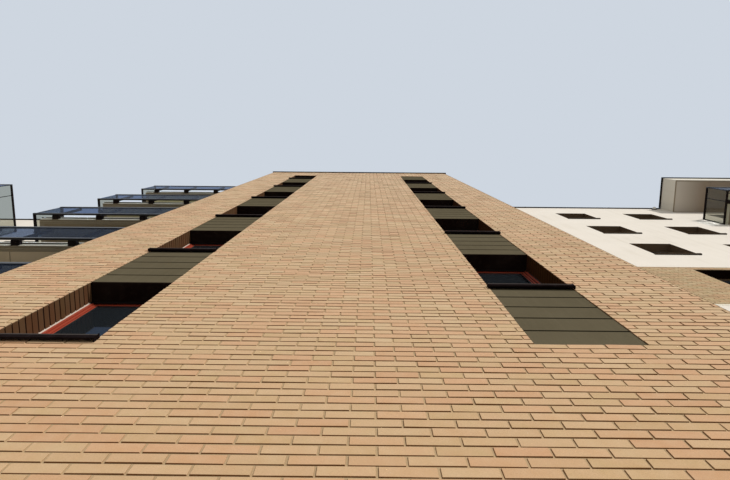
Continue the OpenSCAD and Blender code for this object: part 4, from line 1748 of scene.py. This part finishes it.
@dataclass
class CopingDrips:
    """Folded drip edges along the lower outer edges of the copings."""

    out: float = 0.008
    drop: float = 0.012
    rise: float = 0.03
    sheet: float = 0.002
    brick_gap: float = 0.006
    canopy_gap: float = 0.01
    wall_gap: float = 0.015

    def build(self, metal: Material) -> None:
        """Run a drip along each outer edge; side runs butt against the front and rear ones.

        Args:
            metal: material of the drips.
        """
        o, d, wall = self.out, self.drop, self.wall_gap
        tower, (canopy0, canopy1) = HALF_TOWER + self.brick_gap, CANOPY_COPING_X
        level_runs = (
            (-COPING_END - o, -tower, LEFT_COPING_Y, STREET, WALL_TOP),
            (tower, canopy0 - self.canopy_gap, RIGHT_COPING_Y, STREET, WALL_TOP),
            (canopy1 + self.canopy_gap, COPING_END + o, RIGHT_COPING_Y, STREET, WALL_TOP),
            (-COPING_END - o, COPING_END + o, COPING_REAR_Y, REARWARD, WALL_TOP),
            (-TOWER_COPING_X - o, TOWER_COPING_X + o, TOWER_COPING_Y, STREET, TOWER_TOP),
            (canopy0 - o, canopy1 + o, CANOPY_COPING_Y, STREET, WALL_TOP))
        side_runs = (
            (-COPING_END, LEFT_COPING_Y, COPING_REAR_Y - d, LEFT, WALL_TOP),
            (COPING_END, RIGHT_COPING_Y, COPING_REAR_Y - d, RIGHT, WALL_TOP),
            (-TOWER_COPING_X, TOWER_COPING_Y, LEFT_WALL_Y - wall, LEFT, TOWER_TOP),
            (TOWER_COPING_X, TOWER_COPING_Y, RIGHT_WALL_Y - wall, RIGHT, TOWER_TOP),
            (canopy0, CANOPY_COPING_Y, RIGHT_COPING_Y - wall, LEFT, WALL_TOP),
            (canopy1, CANOPY_COPING_Y, RIGHT_COPING_Y - wall, RIGHT, WALL_TOP))
        drips = [self._drip((x0, y, level), (x1 - x0, 0, 0), way)
                 for x0, x1, y, way, level in level_runs]
        drips += [self._drip((x, y0 + d, level), (0, y1 - y0 - d, 0), way)
                  for x, y0, y1, way, level in side_runs]
        make_piece("coping_drips", metal, Slot.METAL, *drips)

    def _drip(self, start: Vector, run: Vector, way: Vector) -> Solids:
        """Carry the folded outline along one edge.

        Args:
            start: place of the run's start on the coping's lower edge.
            run: vector to the run's end.
            way: direction in which the coping's face looks.

        Returns:
            The drip.
        """
        o, d, t = self.out, self.drop, self.sheet
        fold = np.array([[-d, -t], [-d, 0.0], [0.0, 0.0], [0.0, self.rise], [t, self.rise],
                         [t, -t], [o, -d], [o - t, -d - t], [-t, -t]])
        return prism(fold, np.array([start]), run, way)


@dataclass
class RenderEdges:
    """Beads that finish the render's edges where brick starts."""

    out: float = 0.014
    height: float = 0.026
    skin: float = 0.003
    clear: float = 0.009

    def build(self, finish: Material) -> None:
        """Run a drip bead under each stretch of render and a sloped one over the lower right.

        Args:
            finish: material of the beads.
        """
        o, h, s = self.out, self.height, self.skin
        drip = np.array([[-SUNK, -0.004], [o, -0.006], [o, 0.0], [s, h], [-SUNK, h]])
        slope = np.array([[-SUNK, -h], [s, -h], [o, -0.004], [o, 0.001], [-SUNK, 0.006]])
        inner, outer = HALF_TOWER + self.clear, HALF_BLOCK
        make_piece("render_edge_beads", finish, Slot.RENDER, *(
            prism(outline, np.array([[x0, plane.origin[1], level]]), (x1 - x0, 0, 0), plane.out)
            for plane, x0, x1, level, outline in (
                (LEFT_PLANE, -outer, -inner, BASE_TOP, drip),
                (RIGHT_PLANE, inner, outer, BASE_TOP, drip),
                (REAR_PLANE, -outer, outer, BASE_TOP, drip),
                (RIGHT_PLANE, inner, outer, BAND_TOP, drip),
                (RIGHT_PLANE, inner, outer, BAND_BASE, slope))))


# The entrance and the wall light.


@dataclass
class EntranceFittings:
    """Threshold, hinges and call panel of the entrance, and the ring of the round wall light."""

    ridges: int = 4
    ridge_pitch: float = 0.03
    threshold: tuple[float, float] = (0.15, 0.016)
    threshold_set: float = 0.015
    threshold_clear: float = 0.004
    hinge_inset: float = 0.07
    hinge_out: float = 0.006
    hinge_levels: tuple[float, ...] = (0.42, 1.3, 2.16)
    panel_x: tuple[float, float] = (5.42, 5.54)
    panel_z: tuple[float, float] = (1.3, 1.58)
    panel_t: float = 0.016
    panel_root: float = 0.006
    panel_cut: float = 0.004
    brick_out: float = 0.0055
    button_inset: float = 0.035
    button_levels: tuple[float, float] = (0.04, 0.09)
    button_rows: int = 6

    def build(self, metal: Material, bright: Material) -> None:
        """Make the fittings.

        Args:
            metal: dark coated metal.
            bright: brushed metal.
        """
        x0, x1 = ENTRANCE_X
        clear = self.threshold_clear
        start = np.array([[x0 + clear, RIGHT_WALL_Y + self.threshold_set,
                           GROUND_FLOOR_Z - SUNK]])
        make_piece("entrance_threshold", bright, Slot.METAL,
                   prism(self._tread(), start, (x1 - x0 - 2 * clear, 0, 0), REARWARD))
        knuckle = np.array([[0.006, 0.0], [0.009, 0.002], [0.009, 0.038], [0.0075, 0.039],
                            [0.0075, 0.041], [0.009, 0.042], [0.009, 0.078], [0.006, 0.08]])
        places = np.array([(x, ENTRANCE_DOOR_Y - self.hinge_out, z)
                           for x in (x0 + self.hinge_inset, x1 - self.hinge_inset)
                           for z in self.hinge_levels])
        make_piece("entrance_hinges", bright, Slot.METAL, lathe(knuckle, places, UP, segments=16))
        self._call_panel(metal, bright)
        bezel = np.array([[0.062, 0.002], [0.08, 0.002], [0.083, 0.008], [0.083, 0.02],
                          [0.079, 0.027], [0.0715, 0.027]])
        make_piece("wall_light_bezel", metal, Slot.METAL,
                   lathe(bezel, np.array([LIGHT]), STREET, segments=48))

    def _tread(self) -> Array:
        """Draw the threshold's section: a nosing, and ridges 4 mm high with hollows between.

        Returns:
            (points, 2) closed outline of depths and heights.
        """
        deep, top = self.threshold
        hollow = top - 0.004
        points = [(0.0, 0.0), (0.0, top / 2)]
        for k in range(self.ridges):
            at = 0.02 + k * self.ridge_pitch
            points.append((at, top))
            if k < self.ridges - 1:
                points.append((at + self.ridge_pitch / 2, hollow))
        return np.array(points + [(deep, top), (deep, 0.0)])

    def _call_panel(self, metal: Material, bright: Material) -> None:
        """Fix a plate beside the door with two columns of plain round buttons.

        Args:
            metal: material of the plate.
            bright: material of the buttons.
        """
        (x0, x1), (z0, z1) = self.panel_x, self.panel_z
        face = RIGHT_WALL_Y - self.brick_out
        front = face - self.panel_t
        make_piece("call_panel", metal, Slot.METAL,
                   bevelled_blocks(spots([x0], front, z0),
                                   spots([x1], face + self.panel_root, z1), self.panel_cut))
        button = np.array([[0.009, -0.002], [0.009, 0.003], [0.0075, 0.0045], [0.002, 0.005]])
        rows = np.linspace(z0 + self.button_levels[0], z1 - self.button_levels[1],
                           self.button_rows)
        places = np.array([(x, front, z) for x in (x0 + self.button_inset,
                                                   x1 - self.button_inset) for z in rows])
        make_piece("call_buttons", bright, Slot.METAL, lathe(button, places, STREET, segments=16))


# The studio.


def stand(name: str, data: bpy.types.ID, columns: list[Array]) -> bpy.types.Object:
    """Put a camera or a lamp into the scene.

    Args:
        name: its name.
        data: the camera or lamp.
        columns: its own three axes and its place.

    Returns:
        The object.
    """
    holder = bpy.data.objects.new(name, data)
    bpy.context.scene.collection.objects.link(holder)
    holder.matrix_world = Matrix(np.vstack([np.column_stack(columns), [0, 0, 0, 1]]).tolist())
    return holder


@dataclass
class Studio:
    """Pale floor, soft lamp, pale world and the photograph's camera."""

    position: Vector = (0.3094, -7.1965, 1.4221)
    pitch: float = 80.237
    roll: float = 2.159
    yaw: float = -1.667
    focal_px: float = 598.59
    image_width: int = 730
    sensor: float = 36.0
    view_end: float = 400.0
    floor_size: float = 160.0
    floor_colour: Rgb = tint(226, 226, 224)
    backdrop: Rgb = tint(206, 214, 224)
    fill: float = 0.38
    fill_colour: Rgb = (0.94, 0.97, 1.0)
    key_energy: float = 2.42
    key_colour: Rgb = (1.0, 0.975, 0.94)
    key_width: float = 9.0
    key_azimuth: float = 28.0
    key_height: float = 18.0
    key_distance: float = 40.0

    def build(self) -> None:
        """Set up everything that isn't part of the block."""
        self._camera()
        self._floor()
        self._world()
        self._key()
        bpy.context.scene.view_settings.view_transform = "Standard"

    def _camera(self) -> None:
        """Turn yaw, pitch and roll into the camera's axes and place it."""
        pitch, roll, yaw = (math.radians(a) for a in (self.pitch, self.roll, self.yaw))
        ahead = np.array([math.sin(yaw) * math.cos(pitch), math.cos(yaw) * math.cos(pitch),
                          math.sin(pitch)])
        right = np.array([math.cos(yaw), -math.sin(yaw), 0.0])
        up = np.cross(right, ahead)
        data = bpy.data.cameras.new("street_view")
        data.sensor_fit = "HORIZONTAL"
        data.sensor_width = self.sensor
        data.lens = self.focal_px * self.sensor / self.image_width
        data.clip_end = self.view_end
        side = right * math.cos(roll) + up * math.sin(roll)
        head = -right * math.sin(roll) + up * math.cos(roll)
        bpy.context.scene.camera = stand("street_view", data,
                                         [side, head, -ahead, np.array(self.position)])

    def _floor(self) -> None:
        """Lay the pale floor."""
        half = self.floor_size / 2
        mesh = bpy.data.meshes.new("floor")
        mesh.from_pydata([(-half, -half, 0), (half, -half, 0), (half, half, 0), (-half, half, 0)],
                         [], [(0, 1, 2, 3)])
        floor = bpy.data.objects.new("floor", mesh)
        bpy.context.scene.collection.objects.link(floor)
        material = bpy.data.materials.new("Studio floor")
        material.use_nodes = True
        Graph(material.node_tree).feed(material.node_tree.nodes["Principled BSDF"],
                                       Base_Color=self.floor_colour, Roughness=0.9,
                                       Specular_IOR_Level=0.1)
        mesh.materials.append(material)

    def _world(self) -> None:
        """Show a pale backdrop to the eye, gloss and glass, and a plain fill to the rest."""
        world = bpy.data.worlds.new("Studio")
        world.use_nodes = True
        world.node_tree.nodes.clear()
        bpy.context.scene.world = world
        graph = Graph(world.node_tree)
        rays = graph.add("LightPath").outputs
        seen = graph.math("MAXIMUM", rays["Is Camera Ray"], rays["Is Glossy Ray"])
        seen = graph.math("MAXIMUM", seen, rays["Is Transmission Ray"])
        fill = graph.feed(graph.add("Background"), self.fill_colour, self.fill)
        back = graph.feed(graph.add("Background"), self.backdrop, 1.0)
        blend = graph.feed(graph.add("MixShader"), seen, fill.outputs[0], back.outputs[0])
        graph.feed(graph.add("OutputWorld"), blend.outputs[0])

    def _key(self) -> None:
        """Hang one wide soft lamp to the right of the camera, above it."""
        azimuth, height = math.radians(self.key_azimuth), math.radians(self.key_height)
        aim = np.array([math.sin(azimuth) * math.cos(height),
                        -math.cos(azimuth) * math.cos(height), math.sin(height)])
        side = np.cross(UP, aim)
        side /= np.linalg.norm(side)
        lamp = bpy.data.lights.new("key", "SUN")
        lamp.energy = self.key_energy
        lamp.angle = math.radians(self.key_width)
        lamp.color = self.key_colour
        stand("key", lamp, [side, np.cross(aim, side), aim, aim * self.key_distance])


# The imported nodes' finishes.


class Dressing:
    """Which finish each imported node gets."""

    @staticmethod
    def finishes() -> tuple[tuple[Finish, tuple[str, ...]], ...]:
        """List the finishes, each with the nodes that it goes on.

        Returns:
            Pairs of a finish and node names.
        """
        return (
            # The tower mortar's reveal colour is painted shade.
            (MortarFinish("Tower mortar", colour=tint(188, 161, 124), reveal=tint(34, 22, 15),
                          end_x=HALF_TOWER), ("tower_front_wall",)),
            (MortarFinish("Tower side mortar", room_at=(2.0, 2.01)),
             ("tower_left_wall", "tower_right_wall")),
            (MortarFinish("Left base mortar", outside_y=LEFT_WALL_Y), ("left_base_wall",)),
            (MortarFinish("Right base mortar", outside_y=RIGHT_WALL_Y),
             ("right_base_wall", "right_brick_band")),
            (MortarFinish("Rear base mortar", outside_y=REAR_Y, towards=-1.0),
             ("rear_base_wall",)),
            (RenderFinish("Wall render"),
             ("left_rendered_wall", "right_lower_wall", "right_upper_wall", "left_end_wall",
              "right_end_wall", "rear_wall")),
            # The soffit colours of the canopy and the slabs are painted shade.
            (RenderFinish("Canopy render", colour=tint(224, 218, 204),
                          soffit=tint(150, 138, 120)), ("roof_canopy",)),
            (RenderFinish("Slab paint", specular=0.1, colour=tint(236, 230, 208),
                          stain=tint(204, 196, 172), soffit=tint(132, 122, 102)),
             ("balcony_slabs",)),
            (RenderFinish("Opal cover", specular=0.4, colour=tint(222, 222, 216),
                          stain=tint(196, 192, 180)), ("wall_light",)),
            (CoatedMetal("Dark metal", roughness=0.62, colour=tint(27, 22, 22),
                         dust=tint(66, 58, 52)),
             ("tower_coping", "front_copings", "end_copings", "rear_coping", "canopy_coping",
              "balcony_brackets", "balcony_side_rails", "entrance_frame")),
            (CoatedMetal("Rail metal", specular=0.3, roughness=0.32, colour=tint(25, 22, 22),
                         dust=tint(60, 56, 52), dust_share=0.1), ("balcony_front_rails",)),
            (CoatedMetal("Tower sills", colour=tint(20, 14, 14), dust=tint(62, 54, 56),
                         dust_share=0.14), ("tower_sills",)),
            (CoatedMetal("Wing sills", colour=tint(64, 54, 44), dust=tint(96, 86, 74)),
             ("wing_sills", "rear_sills")),
            (CoatedMetal("Bronze frames", colour=tint(98, 80, 62), dust=tint(120, 104, 86)),
             ("wing_window_frames", "rear_window_frames", "balcony_door_frames")),
            (CoatedMetal("Head trims", colour=tint(22, 11, 9), roughness=0.7, dust_share=0.08),
             ("tower_head_trims",)),
            (CoatedMetal("Spandrel membrane", colour=tint(16, 14, 12), roughness=0.85,
                         dust_share=0.05), ("spandrel_backing",)),
            # The frames' faces that look along -X take painted shade.
            (CoatedMetal("Oxide red frames", colour=tint(163, 65, 43), dust=tint(142, 78, 58),
                         specular=0.25, roughness=0.48, left_face_shade=tint(40, 14, 10)),
             ("tower_window_frames",)),
            (CoatedMetal("Oxide red door", colour=tint(156, 62, 42), dust=tint(140, 80, 60),
                         specular=0.35, roughness=0.48), ("entrance_door",)),
            (BoardFinish("Spandrel boards"), ("spandrel_boards",)),
            (CastFinish("Cast concrete", specular=0.3),
             ("tower_left_landings", "tower_right_landings", "tower_roof", "left_floors",
              "right_floors")),
            (GlassFinish("Window glass", metallic=0.85),
             ("tower_window_glass", "wing_window_glass", "rear_window_glass",
              "balcony_door_glass")),
            (GlassFinish("Balcony front glass", colour=tint(104, 121, 152), transmission=0.95,
                         ior=1.01), ("balcony_front_glass",)),
            (GlassFinish("Balcony side glass", colour=tint(186, 187, 176), transmission=1.0,
                         ior=1.15), ("balcony_side_glass",)))

    def build(self) -> None:
        """Make the finishes and give them to the nodes through their material slots."""
        for finish, names in self.finishes():
            material = finish.material()
            for name in names:
                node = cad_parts[name]
                if not node.material_slots:
                    node.data.materials.append(material)
                for slot in node.material_slots:
                    slot.link = "OBJECT"
                    slot.material = material
                log.info("node %s: %s", name, material.name)


def main() -> None:
    """Build the studio, dress the nodes and add the fine pieces in order."""
    logging.basicConfig(level=logging.INFO, format="%(name)s: %(message)s")
    EffectGroups().build()
    Studio().build()
    Dressing().build()
    # Painted shade: every brick finish darkens faces that look along -X in the slots by its left
    # face share, and the reveal and wing bricks are darkened by their shade factors.
    brick = BrickFinish("Buff brick", left_face_shade=0.75)
    reveal_brick = BrickFinish("Reveal brick", specular=0.0, left_face_shade=0.8,
                               shade=(0.245, 0.185, 0.155))
    wing_brick = BrickFinish("Wing brick", street=(0.98, 0.95, 0.92), shade=(0.84, 0.87, 0.82))
    TowerBrickwork().build(brick.material(), reveal_brick.material())
    WingBrickwork().build(wing_brick.material())
    dark = CoatedMetal("Fittings", roughness=0.62, colour=tint(24, 20, 20),
                       dust=tint(60, 53, 48), dust_share=0.12).material()
    # The sealant's faces that look along -X take painted shade.
    sealant = CoatedMetal("Sealant", colour=tint(214, 200, 186), dust=tint(180, 164, 148),
                          specular=0.1, left_face_shade=tint(44, 30, 24))
    rubber = CoatedMetal("Gasket rubber", colour=tint(22, 22, 23), specular=0.2, roughness=0.7)
    WindowTrims().build(sealant.material(), rubber.material(), dark)
    # The canopy board's colour is painted shade, and its lit end painted light.
    canopy = RenderFinish("Canopy board", colour=tint(158, 142, 124), stain=tint(140, 124, 106),
                          lit_end=tint(197, 189, 177), lit_x=(10.5, 11.35), specular=0.2)
    Soffits().build(SoffitFinish("Soffit board").material(), canopy.material())
    paving = CastFinish("Paving tiles", colour=tint(168, 160, 146), cloud=tint(140, 132, 120),
                        specular=0.2)
    BalconyDecks().build(paving.material(), dark)
    felt = CastFinish("Roof felt", colour=tint(104, 105, 102), cloud=tint(84, 85, 84),
                      specular=0.1)
    RoofCovering().build(felt.material(), dark)
    CopingStraps().build(dark)
    CopingDrips().build(dark)
    joint = CoatedMetal("Joint profile", roughness=0.7, colour=tint(30, 27, 19),
                        dust=tint(56, 52, 40), dust_share=0.1)
    # painted highlight: the welt's finish is paler than the sill's to stand for light along its
    # folded edge
    welt = CoatedMetal("Sill edge", colour=tint(74, 68, 66), dust=tint(96, 90, 86),
                       dust_share=0.14)
    Spandrels().build(joint.material(), welt.material())
    lining = CoatedMetal("Band linings", roughness=0.7, colour=tint(24, 12, 7),
                         dust=tint(34, 22, 15))
    BandLinings().build(lining.material())
    bead = RenderFinish("Edge bead", colour=tint(240, 235, 218), stain=tint(214, 206, 188),
                        specular=0.1)
    RenderEdges().build(bead.material())
    brushed = CoatedMetal("Brushed metal", metallic=0.9, specular=0.3, roughness=0.32,
                          colour=tint(168, 166, 160), dust=tint(120, 116, 108), dust_share=0.1)
    EntranceFittings().build(dark, brushed.material())


if __name__ == "__main__":
    main()
